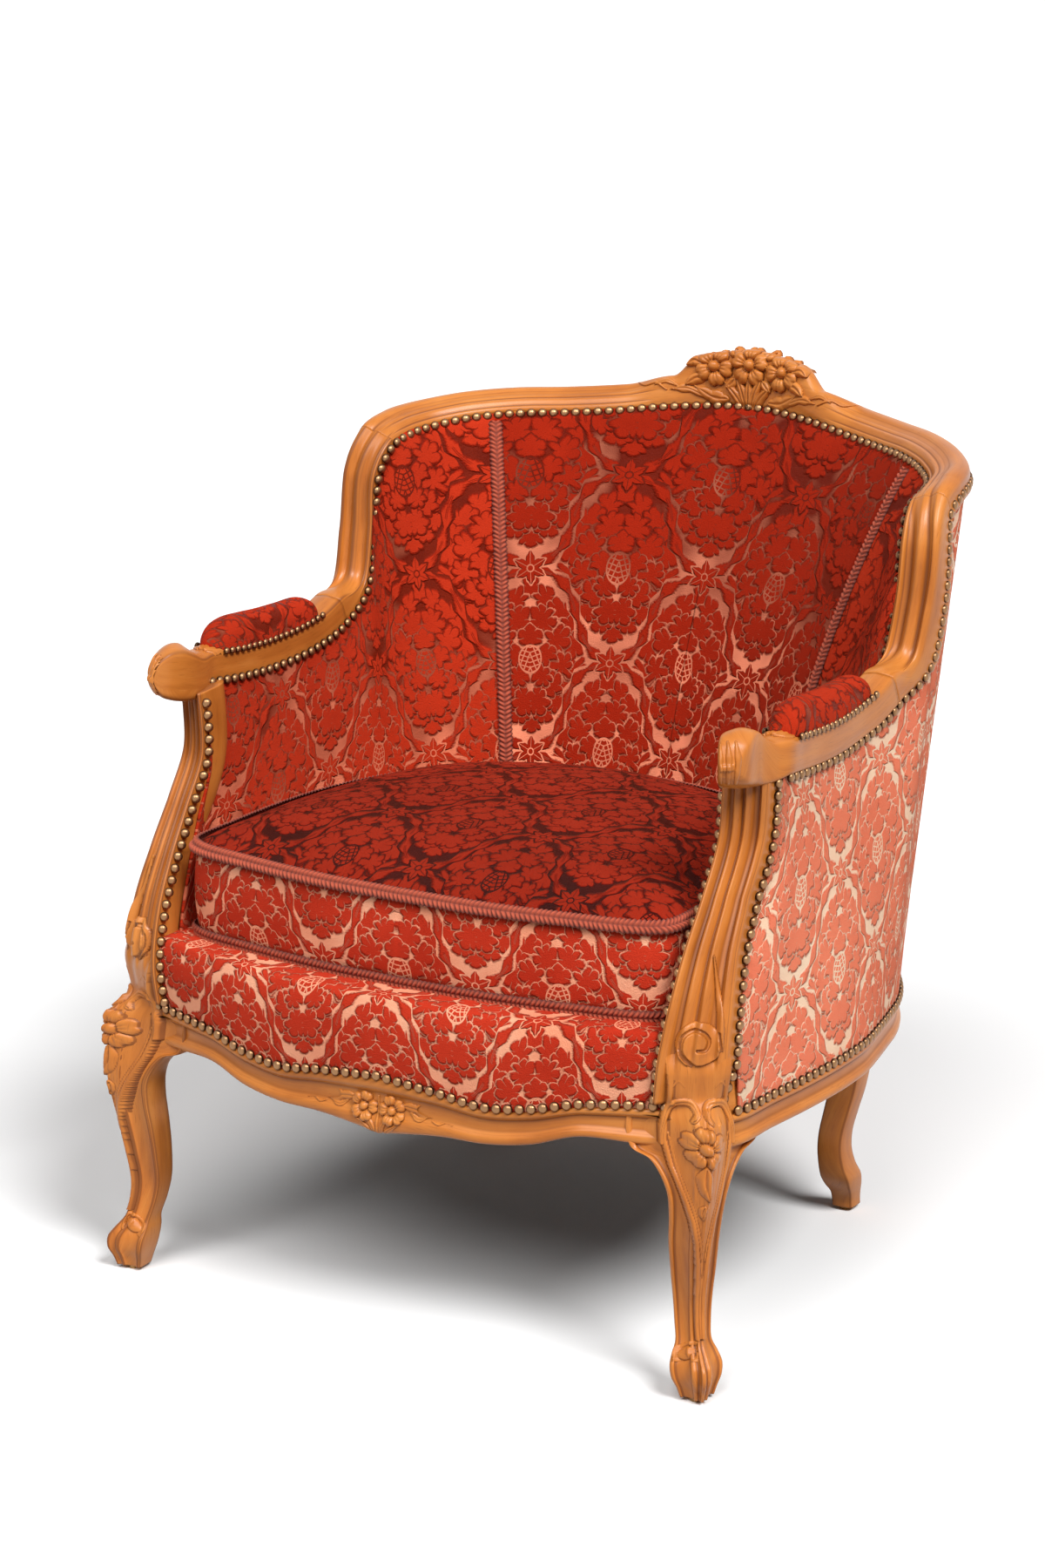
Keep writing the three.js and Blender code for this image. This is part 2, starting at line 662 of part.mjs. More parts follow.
function makeCrossStrap(y, reach) {
  const across = new THREE.Vector2(0, 1);
  const dip = webbingThickness + fitGap;
  const clear = webbingWidth / 2 + dip;
  const over = springSpreadWidth;
  const half = [
    [0, 0], [over - clear - 2 * dip, 0], [over - clear, -dip], [over + clear, -dip],
    [over + clear + 2 * dip, 0], [reach, 0],
  ];
  const right = half.map(([x, z]) => strapRing(new THREE.Vector2(x, y), across, strapTop + z));
  const left = right.slice(1).reverse().map(mirrorRing);
  return loft([...left, ...right]);
}

// Double-cone coil springs, waisted at the middle
function makeSpring(x, y) {
  const steps = 8;
  const sides = 5;
  const bottom = webbingLevel + springWireThickness / 2;
  const top = canvasLevel - springWireThickness / 2 - fitGap;
  const waistShare = 0.72;
  const rings = [];
  for (let i = 0; i <= springTurns * steps; i += 1) {
    const share = i / (springTurns * steps);
    const angle = share * springTurns * 2 * Math.PI;
    const radius = springRadius * lerp(1, waistShare, Math.sin(share * Math.PI));
    const out = new THREE.Vector3(Math.cos(angle), Math.sin(angle), 0);
    const centre = out.clone().multiplyScalar(radius).add(new THREE.Vector3(x, y, lerp(bottom, top, share)));
    const ring = Array.from({ length: sides }, (_, k) => {
      const turn = (k / sides) * 2 * Math.PI;
      return centre.clone()
        .addScaledVector(out, Math.cos(turn) * springWireThickness / 2)
        .add(new THREE.Vector3(0, 0, Math.sin(turn) * springWireThickness / 2));
    });
    rings.push(ring);
  }
  return loft(rings);
}

// Plan of the seat between the inside covers: share of the half width, share of the reach
const seatPlanShares = [
  [0, -0.955], [0.25, -0.948], [0.5, -0.912], [0.72, -0.86], [0.782, -0.8], [0.792, -0.6], [0.79, -0.35],
  [0.765, -0.13], [0.72, 0.03], [0.63, 0.19], [0.5, 0.305], [0.34, 0.385], [0.17, 0.436], [0, 0.452],
];
const seatMiddle = spot(0, -0.25, 0);

function seatOutline(inset) {
  const half = seatPlanShares.map(([x, y]) => spot(x, y, 0));
  const points = [...half, ...half.slice(1, -1).reverse().map((p) => new THREE.Vector3(-p.x, p.y, 0))];
  return points.map((point, i) => {
    const before = points.at(i - 1);
    const after = points[(i + 1) % points.length];
    const outward = outwardOf(new THREE.Vector3().subVectors(after, before));
    return point.clone().addScaledVector(outward, -inset);
  });
}

function shrunkOutline(share) {
  return seatOutline(0).map((point) => point.sub(seatMiddle).multiplyScalar(share).add(seatMiddle));
}

function slab(outline, bottom, thickness) {
  const shape = new THREE.Shape(outline.map((point) => new THREE.Vector2(point.x, point.y)));
  const plate = new THREE.ExtrudeGeometry(shape, { depth: thickness, bevelEnabled: false });
  plate.translate(0, 0, bottom);
  return plate;
}

// The seat pad is stuffed down to the rails all round a room for the springs
const springRoomShare = 0.86;
const canvasShare = 0.855;
function seatPadSolid() {
  const pad = slab(seatOutline(fitGap), railTop + fitGap, deckLevel - railTop - fitGap);
  const room = slab(shrunkOutline(springRoomShare), railBottom, canvasLevel + canvasThickness - railBottom);
  return cut(pad, room);
}

function makeCanvas() {
  return slab(shrunkOutline(canvasShare), canvasLevel, canvasThickness);
}

function deckCoverSolid() {
  return slab(seatOutline(fitGap), deckLevel + fitGap, coverThickness);
}

function dustCoverSolid() {
  const inset = railThickness / 2 + fitGap;
  const stations = [0, 2, 4, 6, 7, 9, 11, 13, 15, 16.5, 18, 20, 22];
  const half = stations.map((station) => planPoint(station, inset, 0));
  const outline = [...half, ...half.slice(1, -1).reverse().map((p) => new THREE.Vector3(-p.x, p.y, 0))];
  const top = webbingLevel - 2 * (webbingThickness + fitGap) - fitGap;
  return slab(outline, top - coverThickness, coverThickness);
}

// Front band of the deck: covers the rail's rebate and rolls over the stuffed edge.
// Each pair: share of the rail's thickness set in from its face, share of the height over the nail line
const bandShares = [[0.01, 0], [-0.02, 0.35], [-0.05, 0.7], [0, 0.88], [0.08, 0.98], [0.2, 1.02]];

function frontBandSolid() {
  const bottom = nailHeight + fitGap;
  const height = deckLevel + coverThickness - bottom;
  const back = rebateDepth - fitGap;
  const ring = (station) => [
    ...bandShares.map(([inset, rise]) => planPoint(station, inset * railThickness, bottom + rise * height)),
    planPoint(station, 0.2 * railThickness, deckLevel + fitGap),
    planPoint(station, back, deckLevel - coverThickness),
    planPoint(station, back, bottom),
  ];
  const right = Array.from({ length: 7 }, (_, i) => ring(i * 0.9));
  const left = right.slice(1).reverse().map(mirrorRing);
  return loft([...left, ...right]);
}

// How the edge of an arm support sways from the straight line between its ends
const swayFoot = supportCurve.getPoint(1 / supportLast);
const swayHead = supportCurve.getPoint((supportLast - 1) / supportLast);
function swayAt(share) {
  const straight = new THREE.Vector3().lerpVectors(swayFoot, swayHead, share);
  const bent = supportCurve.getPoint(lerp(1, supportLast - 1, share) / supportLast);
  return new THREE.Vector3(bent.x - straight.x, bent.y - straight.y, 0);
}

const levelShares = [0, 0.2, 0.45, 0.72, 1];
const backLevelShares = [0, 0.35, 0.7, 1];

const swellPower = 0.7; // fullness of the stuffing's curve

// A cover between a foot and a head, swelling inward and swaying with the support near the front
function columnOf(foot, head, inward, swell, sway, shares = levelShares) {
  return shares.map((share) => (
    new THREE.Vector3().lerpVectors(foot, head, share)
      .addScaledVector(inward, swell * Math.sin(share * Math.PI) ** swellPower)
      .addScaledVector(swayAt(share), sway)
  ));
}

// Inside covers with their stuffing. Each row: station of the seat plan, of the rail plan and
// of the frame, share of the swell, share of the support's sway
const insideSideRows = [
  [4, 7.1, null, 0.2, 1], [4.6, 7.9, 0.1, 0.5, 0.7], [5.3, 8.9, 1.1, 0.8, 0.4], [6.1, 10, 2.3, 1, 0.15],
  [7, 11.3, 3.7, 1.1, 0], [7.9, 12.6, 5, 1.4, 0], [8.7, 13.8, 6.6, 2, 0], [9.3, 15, 8.4, 2.6, 0],
  [9.9, 16, 10, 3.4, 0], [10.45, 17, 11.5, backSwellDepth / armSwellDepth, 0],
];
const insideBackRows = [
  [10.45, 17, 11.5], [11, 18.2, 12.6], [11.6, 19.3, 13.8], [12.1, 20.3, 14.8], [12.6, 21.2, 15.9],
  [13, 22, crestStation],
];
const seatCurve = new THREE.CatmullRomCurve3(
  seatPlanShares.map(([x, y]) => spot(x, y, 0)),
  false,
  'centripetal',
);
const seatLast = seatPlanShares.length - 1;

function insideRing(seatStation, railStation, frameStation, swell, sway, endShift) {
  const foot = seatCurve.getPoint(seatStation / seatLast).setZ(railTop + fitGap);
  const rear = planPoint(railStation, rebateDepth + coverThickness + fitGap, railTop + fitGap);
  const across = outwardOf(seatCurve.getTangent(seatStation / seatLast));
  let head = swayHead.clone();
  let headOut = new THREE.Vector3(1, 0, 0);
  if (frameStation !== null) {
    const frame = frameAt(frameStation);
    head = frame.place;
    headOut = frame.out;
  }
  const inward = across.clone().add(headOut).normalize().negate();
  const lowered = head.clone().addScaledVector(new THREE.Vector3(0, 0, 1), -fitGap);
  const front = columnOf(foot, lowered, inward, swell, sway);
  const deep = lowered.clone().addScaledVector(headOut, panelDepth);
  const behind = columnOf(rear, deep, inward, 0, sway, backLevelShares);
  return [...front, ...behind.reverse()].map((point) => point.addScaledVector(endShift, 1));
}

function seamShift(direction) {
  const along = seatCurve.getTangent(insideBackRows[0][0] / seatLast);
  return along.multiplyScalar(direction * fitGap / 2);
}

function insideSideSolid() {
  const none = new THREE.Vector3();
  const last = insideSideRows.length - 1;
  const rings = insideSideRows.map(([seat, rail, frame, swell, sway], i) => (
    insideRing(seat, rail, frame, swell * armSwellDepth, sway, i === last ? seamShift(-1) : none)
  ));
  return loft(rings);
}

function insideBackSolid() {
  const none = new THREE.Vector3();
  const right = insideBackRows.map(([seat, rail, frame], i) => (
    insideRing(seat, rail, frame, backSwellDepth, 0, i === 0 ? seamShift(1) : none)
  ));
  const left = right.slice(0, -1).reverse().map(mirrorRing);
  return loft([...right, ...left]);
}

// Outside covers, nailed under the show-wood and into the rails' rebate.
// Each row: station of the rail plan, station of the frame, share of the support's sway
const outsideSideRows = [
  [7.7, 0, 0.95], [8.3, 0.6, 0.7], [9, 1.3, 0.4], [10, 2.3, 0.2], [11, 3.3, 0], [12, 4.4, 0], [13, 5.6, 0],
  [14, 7, 0], [14.5, 7.8, 0], [15, 8.6, 0], [16, 10, 0], [17, 11.3, 0],
];
const outsideBackRows = [
  [17, 11.3], [18.2, 12.4], [19.2, 13.4], [20.2, 14.5], [21.1, 15.7], [planLast, crestStation],
];
const outsideTuckShare = 0.9; // how far out on a member its outside cover is tucked
const tuckDepthShare = 0.6; // how far back on a member it goes in

// The cover's front edge lies on the outer side of the arm support, behind its moulded face
const supportSideShare = 0.35;
const supportJointShare = 0.93;
const outsideFrontStation = 7;

function outsideFrontRing() {
  const rises = levelShares.slice(1);
  const column = (proud) => rises.map((share) => {
    const ring = supportRing(share * supportJointShare * supportLast);
    const side = new THREE.Vector3().lerpVectors(ring[12], ring[13], supportSideShare);
    return side.addScaledVector(supportOut, proud);
  });
  const foot = (inset) => planPoint(outsideFrontStation, inset, nailHeight + fitGap);
  return [
    foot(fitGap),
    ...column(coverThickness + fitGap),
    ...column(fitGap).reverse(),
    foot(fitGap + coverThickness),
  ];
}

function outsideRing(railStation, frameStation, sway, endShift) {
  const foot = planPoint(railStation, fitGap, nailHeight + fitGap);
  const frame = frameAt(frameStation);
  const { shares, width, height } = sectionAt(frameStation);
  const { out } = frame;
  const head = frame.place
    .addScaledVector(out, outsideTuckShare * shares[13][0] * width)
    .addScaledVector(frame.facing, tuckDepthShare * shares[14][1] * height);
  const footOut = outwardOf(railCurve.getTangent(railStation / planLast));
  const outer = columnOf(foot, head, out, 0, sway);
  const inner = columnOf(
    foot.clone().addScaledVector(footOut, -coverThickness),
    head.clone().addScaledVector(out, -coverThickness),
    out,
    0,
    sway,
  );
  return [...outer, ...inner.reverse()].map((point) => point.add(endShift));
}

function outsideShift(direction) {
  const along = railCurve.getTangent(outsideBackRows[0][0] / planLast);
  return along.multiplyScalar(direction * fitGap / 2);
}

function outsideSideSolid() {
  const none = new THREE.Vector3();
  const last = outsideSideRows.length - 1;
  const rings = outsideSideRows.map(([rail, frame, sway], i) => (
    outsideRing(rail, frame, sway, i === last ? outsideShift(-1) : none)
  ));
  return loft([outsideFrontRing(), ...rings]);
}

function outsideBackSolid() {
  const none = new THREE.Vector3();
  const right = outsideBackRows.map(([rail, frame], i) => (
    outsideRing(rail, frame, 0, i === 0 ? outsideShift(1) : none)
  ));
  const left = right.slice(0, -1).reverse().map(mirrorRing);
  return loft([...right, ...left]);
}

// Arm pads: stuffed rolls on the arms. Each row: station of the frame, share of the pad's height,
// share of the member's width
const padRows = [
  [0.25, 0.45, 0.6], [0.45, 0.8, 0.9], [0.8, 0.98, 1.02], [1.4, 1, 1.04], [2, 0.95, 1.02], [2.6, 0.88, 1],
  [3.15, 0.75, 0.92], [3.45, 0.4, 0.66],
];
const padSectionShares = [
  [0, 0], [-0.02, 0.3], [0.04, 0.62], [0.18, 0.88], [0.38, 0.99], [0.62, 0.99], [0.82, 0.88], [0.96, 0.62],
  [1.02, 0.3], [1, 0],
];

function armPadSolid() {
  const rings = padRows.map(([station, heightShare, widthShare]) => {
    const { place, out, facing } = frameAt(station);
    const start = place
      .addScaledVector(out, armWidth * (1 - widthShare) / 2)
      .addScaledVector(facing, faceHeight);
    return ringOf(start, out, facing, padSectionShares, armWidth * widthShare, padHeight * heightShare);
  });
  return loft(rings);
}

// Braid that covers the seam between the inside back and an inside arm
const braidDropShare = 0.1;
const braidSectionShares = [[-1, 0], [-1, 1.6], [0, 2], [1, 1.6], [1, 0]];

function backBraidSolid() {
  const [seat, rail, frame] = insideBackRows[0];
  const ring = insideRing(seat, rail, frame, backSwellDepth, 0, new THREE.Vector3());
  const along = seatCurve.getTangent(seat / seatLast);
  const inward = outwardOf(along).negate();
  const points = ring.slice(1, levelShares.length);
  const topPoint = points[points.length - 1];
  topPoint.lerp(points[points.length - 2], braidDropShare);
  const braid = points.map((point) => {
    const base = point.clone().addScaledVector(inward, -braidThickness);
    const half = along.clone().multiplyScalar(braidWidth / 2);
    return braidSectionShares.map(([side, rise]) => (
      base.clone().addScaledVector(half, side).addScaledVector(inward, rise * braidThickness)
    ));
  });
  return loft(braid);
}

// Loose cushion: a boxed, crowned filling in a top panel, a boxing strip and a bottom panel,
// with braid round both seams
const cushionBottom = deckLevel + fitGap + coverThickness + cushionLayGap;
const cushionSeam = cushionBottom + cushionHeight;
const cushionFrontShare = 0.955; // the cushion's front edge as a share of the seat's
const crownShares = [[1, 0], [0.94, 0.3], [0.82, 0.6], [0.64, 0.83], [0.42, 0.95], [0.16, 1]];

function cushionRing(inset, z) {
  return seatOutline(cushionGap + inset).map((point) => new THREE.Vector3(
    point.x,
    point.y < 0 ? point.y * cushionFrontShare : point.y,
    z,
  ));
}

function scaledRing(inset, share, z) {
  return cushionRing(inset, z).map((point) => new THREE.Vector3(
    lerp(seatMiddle.x, point.x, share),
    lerp(seatMiddle.y, point.y, share),
    z,
  ));
}

const skinDepth = coverThickness + fitGap;
const sideBowDepth = 5; // how far the boxing bows out between its seams

function makeCushionCore() {
  const inset = skinDepth + fitGap;
  const bottom = cushionBottom + skinDepth;
  const sides = [[sideBowDepth, 0], [0, 0.3], [0, 0.7], [sideBowDepth, 1]];
  const top = cushionSeam - skinDepth;
  return loft([
    ...sides.map(([draw, rise]) => cushionRing(inset + draw, lerp(bottom, top, rise))),
    ...crownShares.slice(1).map(([share, rise]) => (
      scaledRing(inset + sideBowDepth, share, top + rise * cushionCrownHeight)
    )),
  ]);
}

function makeCushionTop() {
  const under = cushionSeam - skinDepth + fitGap;
  const outer = crownShares.map(([share, rise]) => (
    scaledRing(sideBowDepth, share, under + coverThickness + rise * cushionCrownHeight)
  ));
  const inner = crownShares.map(([share, rise]) => (
    scaledRing(sideBowDepth, share, under + rise * cushionCrownHeight)
  ));
  const shell = solidOf(loft(outer));
  const underBlock = loft([
    cushionRing(sideBowDepth - fitGap, under - overrunLength),
    cushionRing(sideBowDepth - fitGap, under),
    ...inner.slice(1),
  ]);
  return geometryOf(shell.subtract(solidOf(underBlock)));
}

function makeCushionBoxing() {
  const low = cushionBottom + skinDepth + fitGap;
  const high = cushionSeam - skinDepth - fitGap;
  const outerShares = [[sideBowDepth, 0], [0, 0.3], [0, 0.7], [sideBowDepth, 1]];
  const count = cushionRing(0, 0).length;
  const outer = outerShares.map(([draw, rise]) => cushionRing(draw, lerp(low, high, rise)));
  const inner = outerShares.map(([draw, rise]) => cushionRing(draw + coverThickness, lerp(low, high, rise)));
  const rings = Array.from({ length: count }, (_, i) => [
    ...outer.map((ring) => ring[i]),
    ...inner.map((ring) => ring[i]).reverse(),
  ]);
  return loft(rings, true);
}

function makeCushionBottom() {
  return slab(cushionRing(sideBowDepth, 0), cushionBottom, coverThickness);
}

const braidFaceShare = 0.6; // flat width of the braid's face

function cushionBraid(seam) {
  const half = braidWidth / 2;
  const inset = sideBowDepth - fitGap;
  const outline = cushionRing(inset, seam);
  const proud = cushionRing(inset - braidThickness, seam);
  const rings = outline.map((point, i) => [
    point.clone().setZ(seam - half),
    proud[i].clone().setZ(seam - half * braidFaceShare),
    proud[i].clone().setZ(seam + half * braidFaceShare),
    point.clone().setZ(seam + half),
  ]);
  return loft(rings, true);
}

// Show-wood
const arm = makeArm();
const frontLeg = loft(frontLegRings());
const rearLeg = makeRearLeg();
const wing = makeWing();
const topRail = makeTopRail();
const support = makeSupport(frontLeg, arm);
const shaft = supportShaft();
const frontBlank = frontRailBlank();
const sideBlank = sideRailBlank();
const rearBlank = rearRailBlank();
const legSpace = frontLegSpace();
const frontRail = cut(frontBlank, legSpace, mirrored(legSpace), shaft, mirrored(shaft));
const sideRail = cut(sideBlank, legSpace, shaft, rearLeg);
const rearRail = cut(rearBlank, rearLeg, mirrored(rearLeg));

// Tenons of the rails, let into the legs
const tenonLevel = (webbingLevel + legTop) / 2;
const kneeShare = frontLegShares.find((row) => row[3] === 1);
const knee = spot(kneeShare[0], kneeShare[1], tenonLevel);
const kneeHalf = kneeWidth / 2 + bracketShare * kneeWidth;
const rearShare = rearLegShares.at(-1);
const heel = spot(rearShare[0], rearShare[1], tenonLevel);
const [frontTenonShare, sideTenonShare] = [-0.4, 1.5]; // places of the tenons across the leg
const frontTenon = makeTenon(
  new THREE.Vector3(knee.x - kneeHalf, knee.y + frontTenonShare * tenonThickness, knee.z),
  new THREE.Vector2(1, 0),
);
const sideTenon = makeTenon(
  new THREE.Vector3(knee.x + sideTenonShare * tenonThickness, knee.y + kneeHalf, knee.z),
  new THREE.Vector2(0, 1),
);
const rearTenon = makeTenon(
  new THREE.Vector3(heel.x - rearLegWidth / 2, heel.y + tenonThickness / 2, heel.z),
  new THREE.Vector2(1, 0),
);
const tenonedFrontRail = joined(frontRail, frontTenon, mirrored(frontTenon));
const tenonedSideRail = joined(sideRail, sideTenon);
const tenonedRearRail = joined(rearRail, rearTenon, mirrored(rearTenon));
const mortisedFrontLeg = cut(frontLeg, frontTenon, sideTenon);
const postCut = cut(rearLeg, topRail, rearTenon);

// Dowels of the upper joints
const up = new THREE.Vector3(0, 0, 1);
const footDowelShare = 2.5;
const supportFoot = new THREE.Vector3(knee.x - dowelRadius, knee.y + footDowelShare * dowelRadius, legTop);
const supportHead = centreOf(supportRing(supportLast - 0.6));
const wingFoot = frameAt(wingStart);
const wingHead = frameAt(wingEnd);
const legDowel = makeDowel(supportFoot, up);
const armDowel = makeDowel(supportHead.clone().setZ(supportHead.z + dowelRadius), up);
const wingDowel = makeDowel(centreOf(frameRing(wingStart)), wingFoot.along, smallDowelShare);
const crestCentre = centreOf(frameRing(wingEnd)).addScaledVector(wingHead.facing, -dowelRadius);
const crestDowel = makeDowel(crestCentre, wingHead.along, smallDowelShare);
const boredArm = cut(arm, armDowel, wingDowel);
const boredWing = cut(wing, wingDowel, crestDowel);
const boredTopRail = cut(topRail, crestDowel, mirrored(crestDowel));
const boredSupport = cut(support, legDowel, armDowel);
const boredFrontLeg = cut(mortisedFrontLeg, legDowel);

// Seat frame blocks
const frontCorner = planPoint(6, 0, 0);
const rearCorner = planPoint(18, 0, 0);
const frontBlock = makeCornerBlock(
  frontCorner,
  -blockReach - railThickness,
  blockReach + railThickness,
  frontBlank,
  sideBlank,
  frontLeg,
  shaft,
  legDowel,
);
const rearBlock = makeCornerBlock(
  rearCorner,
  -blockReach - railThickness,
  -blockReach - railThickness,
  rearBlank,
  sideBlank,
  rearLeg,
);

// Upholstery
const insideSideBlank = insideSideSolid();
const insideBackBlank = insideBackSolid();
const outsideSideBlank = outsideSideSolid();
const bandBlank = frontBandSolid();
const both = (...pieces) => pieces.flatMap((piece) => [piece, mirrored(piece)]);
const outsideSpace = grown(outsideSideBlank, fitGap);
const topSpace = grown(topRail, fitGap / 2);
const insideSide = cut(insideSideBlank, arm, wing, topSpace, shaft, rearLeg, sideBlank, outsideSpace);
const insideBack = cut(insideBackBlank, topRail, ...both(rearLeg));
const outsideSide = cut(outsideSideBlank, arm, wing, shaft, frontLeg, sideBlank, rearLeg, topRail);
const outsideBack = cut(outsideBackSolid(), rearBlank, topRail, ...both(sideBlank, rearLeg));
const frontBand = cut(bandBlank, frontBlank, ...both(frontLeg, shaft, sideBlank, insideSideBlank));
const seatPad = cut(seatPadSolid(), insideBackBlank, bandBlank, ...both(insideSideBlank, shaft));
const deckCover = cut(deckCoverSolid(), insideBackBlank, bandBlank, ...both(insideSideBlank, shaft));
const canvas = makeCanvas();
const dustCover = cut(dustCoverSolid(), frontBlank, ...both(frontLeg, rearLeg, sideBlank));
const backBraid = cut(backBraidSolid(), insideSideBlank, insideBackBlank, topRail);
const armPad = cut(armPadSolid(), arm);

// Finishes
function finish(color, roughness, metalness = 0) {
  return () => new THREE.MeshStandardMaterial({ color, roughness, metalness });
}
const wood = finish('#8f5527', 0.42);
const plainWood = finish('#b08a5c', 0.75);
const damask = finish('#a8452f', 0.85);
const trimming = finish('#a35f45', 0.8);
const linen = finish('#b9a586', 0.95);
const stuffing = finish('#d8cdb6', 0.95);
const blackCloth = finish('#262322', 0.95);
const steel = finish('#8d8f92', 0.35, 1);
const brass = finish('#8a6a38', 0.4, 1);

const chair = new THREE.Group();

function add(name, geometry, material) {
  const mesh = new THREE.Mesh(geometry, material());
  mesh.name = name;
  chair.add(mesh);
}

function addPair(name, geometry, material) {
  add(`${name}_right`, geometry, material);
  add(`${name}_left`, mirrored(geometry), material);
}

addPair('front_leg', boredFrontLeg, wood);
addPair('rear_leg', postCut, wood);
add('front_rail', tenonedFrontRail, wood);
addPair('side_rail', tenonedSideRail, wood);
add('rear_rail', tenonedRearRail, wood);
addPair('arm_support', boredSupport, wood);
addPair('arm', boredArm, wood);
addPair('wing', boredWing, wood);
add('top_rail', boredTopRail, wood);
addPair('front_corner_block', frontBlock, plainWood);
addPair('rear_corner_block', rearBlock, plainWood);
addPair('front_glide', makeGlide(frontLegShares[0][0], frontLegShares[0][1]), brass);
addPair('rear_glide', makeGlide(rearLegShares[0][0], rearLegShares[0][1]), brass);
addPair('leg_dowel', legDowel, plainWood);
addPair('arm_dowel', armDowel, plainWood);
addPair('wing_dowel', wingDowel, plainWood);
addPair('crest_dowel', crestDowel, plainWood);

// Seat
addPair('long_web_strap', makeLongStrap(springSpreadWidth), linen);
const strapReach = halfWidth - railThickness / 2 - strapGrip;
const rearStrapShare = 0.96;
add('front_cross_strap', makeCrossStrap(springFrontDepth, strapReach), linen);
add('rear_cross_strap', makeCrossStrap(springRearDepth, strapReach * rearStrapShare), linen);
addPair('front_spring', makeSpring(springSpreadWidth, springFrontDepth), steel);
addPair('rear_spring', makeSpring(springSpreadWidth, springRearDepth), steel);
add('spring_canvas', canvas, linen);
add('seat_pad', seatPad, stuffing);
add('deck_cover', deckCover, damask);
add('front_band', frontBand, damask);
add('dust_cover', dustCover, blackCloth);

// Covers
addPair('inside_arm', insideSide, damask);
add('inside_back', insideBack, damask);
addPair('outside_arm', outsideSide, damask);
add('outside_back', outsideBack, damask);
addPair('arm_pad', armPad, damask);
addPair('back_braid', backBraid, trimming);

// Loose cushion
const boxing = makeCushionBoxing();
add('cushion_core', makeCushionCore(), stuffing);
add('cushion_top', makeCushionTop(), damask);
add('cushion_boxing', boxing, damask);
add('cushion_bottom', makeCushionBottom(), damask);
add('cushion_top_braid', cut(cushionBraid(cushionSeam - braidWidth / 2), boxing), trimming);
add('cushion_bottom_braid', cut(cushionBraid(cushionBottom + braidWidth / 2), boxing), trimming);

// The origin lies on the floor under the middle of the chair
const bounds = new THREE.Box3().setFromObject(chair);
chair.position.y = -(bounds.min.y + bounds.max.y) / 2;

export default chair;
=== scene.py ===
import math
from functools import partialmethod

import bmesh
import bpy
import numpy as np
from mathutils import Matrix, Vector
from mathutils.bvhtree import BVHTree


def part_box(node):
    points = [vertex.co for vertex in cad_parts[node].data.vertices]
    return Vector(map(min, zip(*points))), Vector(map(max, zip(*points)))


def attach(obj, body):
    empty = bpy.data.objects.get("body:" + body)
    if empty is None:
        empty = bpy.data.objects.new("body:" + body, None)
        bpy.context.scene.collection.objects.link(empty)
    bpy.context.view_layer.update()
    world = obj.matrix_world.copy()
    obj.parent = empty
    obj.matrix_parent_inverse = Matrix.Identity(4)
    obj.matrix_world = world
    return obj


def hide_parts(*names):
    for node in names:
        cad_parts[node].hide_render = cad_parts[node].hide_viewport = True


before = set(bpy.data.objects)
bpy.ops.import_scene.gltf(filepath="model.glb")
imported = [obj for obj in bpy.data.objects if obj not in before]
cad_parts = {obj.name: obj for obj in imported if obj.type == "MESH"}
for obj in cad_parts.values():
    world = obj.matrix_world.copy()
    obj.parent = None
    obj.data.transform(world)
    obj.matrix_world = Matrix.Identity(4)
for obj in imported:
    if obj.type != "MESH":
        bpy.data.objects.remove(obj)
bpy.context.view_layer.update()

# Driving sizes of the chair, in millimetres, the same as in the solids
HALF_WIDTH = 380
FRONT_REACH = 372
BACK_REACH = 413
RAIL_BOTTOM = 245
RAIL_TOP = 330
NAIL_LINE = 292
ARM_LINE = 617
SHOULDER_LINE = 844
CREST_RISE = 59
MEMBER_WIDTH = 44
ARM_WIDTH = 38
FACE_HEIGHT = 27
TOP_FACE_HEIGHT = 21
SUPPORT_WIDTH = 47
SUPPORT_DEPTH = 40
SUPPORT_TURN = 28
SCROLL_TURN = 40
RAIL_THICKNESS = 44
RAIL_REBATE = 5
KNEE_WIDTH = 57
LEG_TOP = 306
REAR_LEG_WIDTH = 38
GLIDE_HEIGHT = 4
DECK_LEVEL = 372
COVER = 3
BACK_SWELL = 36
ARM_SWELL = 7
PAD_HEIGHT = 34
BRAID_WIDTH = 15
BRAID_THICKNESS = 4.6
BRAID_LOOP = 5.2
CUSHION_HEIGHT = 96
CUSHION_CROWN = 46
CUSHION_GAP = 8
CUSHION_LAY = 1.2
FIT_GAP = 0.4
NAIL_RADIUS = 5.3
NAIL_PITCH = 12.4
PAD_NAIL_RADIUS = 4.0
PAD_NAIL_PITCH = 9.0

# The photograph's camera: size, focal length and middle of the picture in pixels, width of the film in
# millimetres, and its place round the chair
PICTURE_WIDTH = 1200
PICTURE_HEIGHT = 1800
FOCAL_LENGTH = 5059.15
FILM_WIDTH = 36
PICTURE_MIDDLE = (651.40, 964.12)
CAMERA_BEARING = 31.105
CAMERA_HEIGHT = 16.144
CAMERA_DISTANCE = 4.7242
CAMERA_AIM = 0.45

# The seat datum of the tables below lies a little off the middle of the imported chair
glide_low, glide_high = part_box("front_glide_right")
DATUM_Y = (glide_low[1] + glide_high[1]) / 2 * 1000 + 0.874 * FRONT_REACH


def metres(points):
    return (np.asarray(points, float) + (0, DATUM_Y, 0)) / 1000


def lerp(a, b, share):
    return a + (b - a) * share


def smoothstep(x, low, high):
    share = np.clip((x - low) / (high - low), 0, 1)
    return share * share * (3 - 2 * share)


def unit(vectors):
    return vectors / np.linalg.norm(vectors, axis=-1, keepdims=True)


def spot(x_share, y_share, z):
    reach = FRONT_REACH if y_share < 0 else BACK_REACH
    return np.array([HALF_WIDTH * x_share, reach * y_share, z], float)


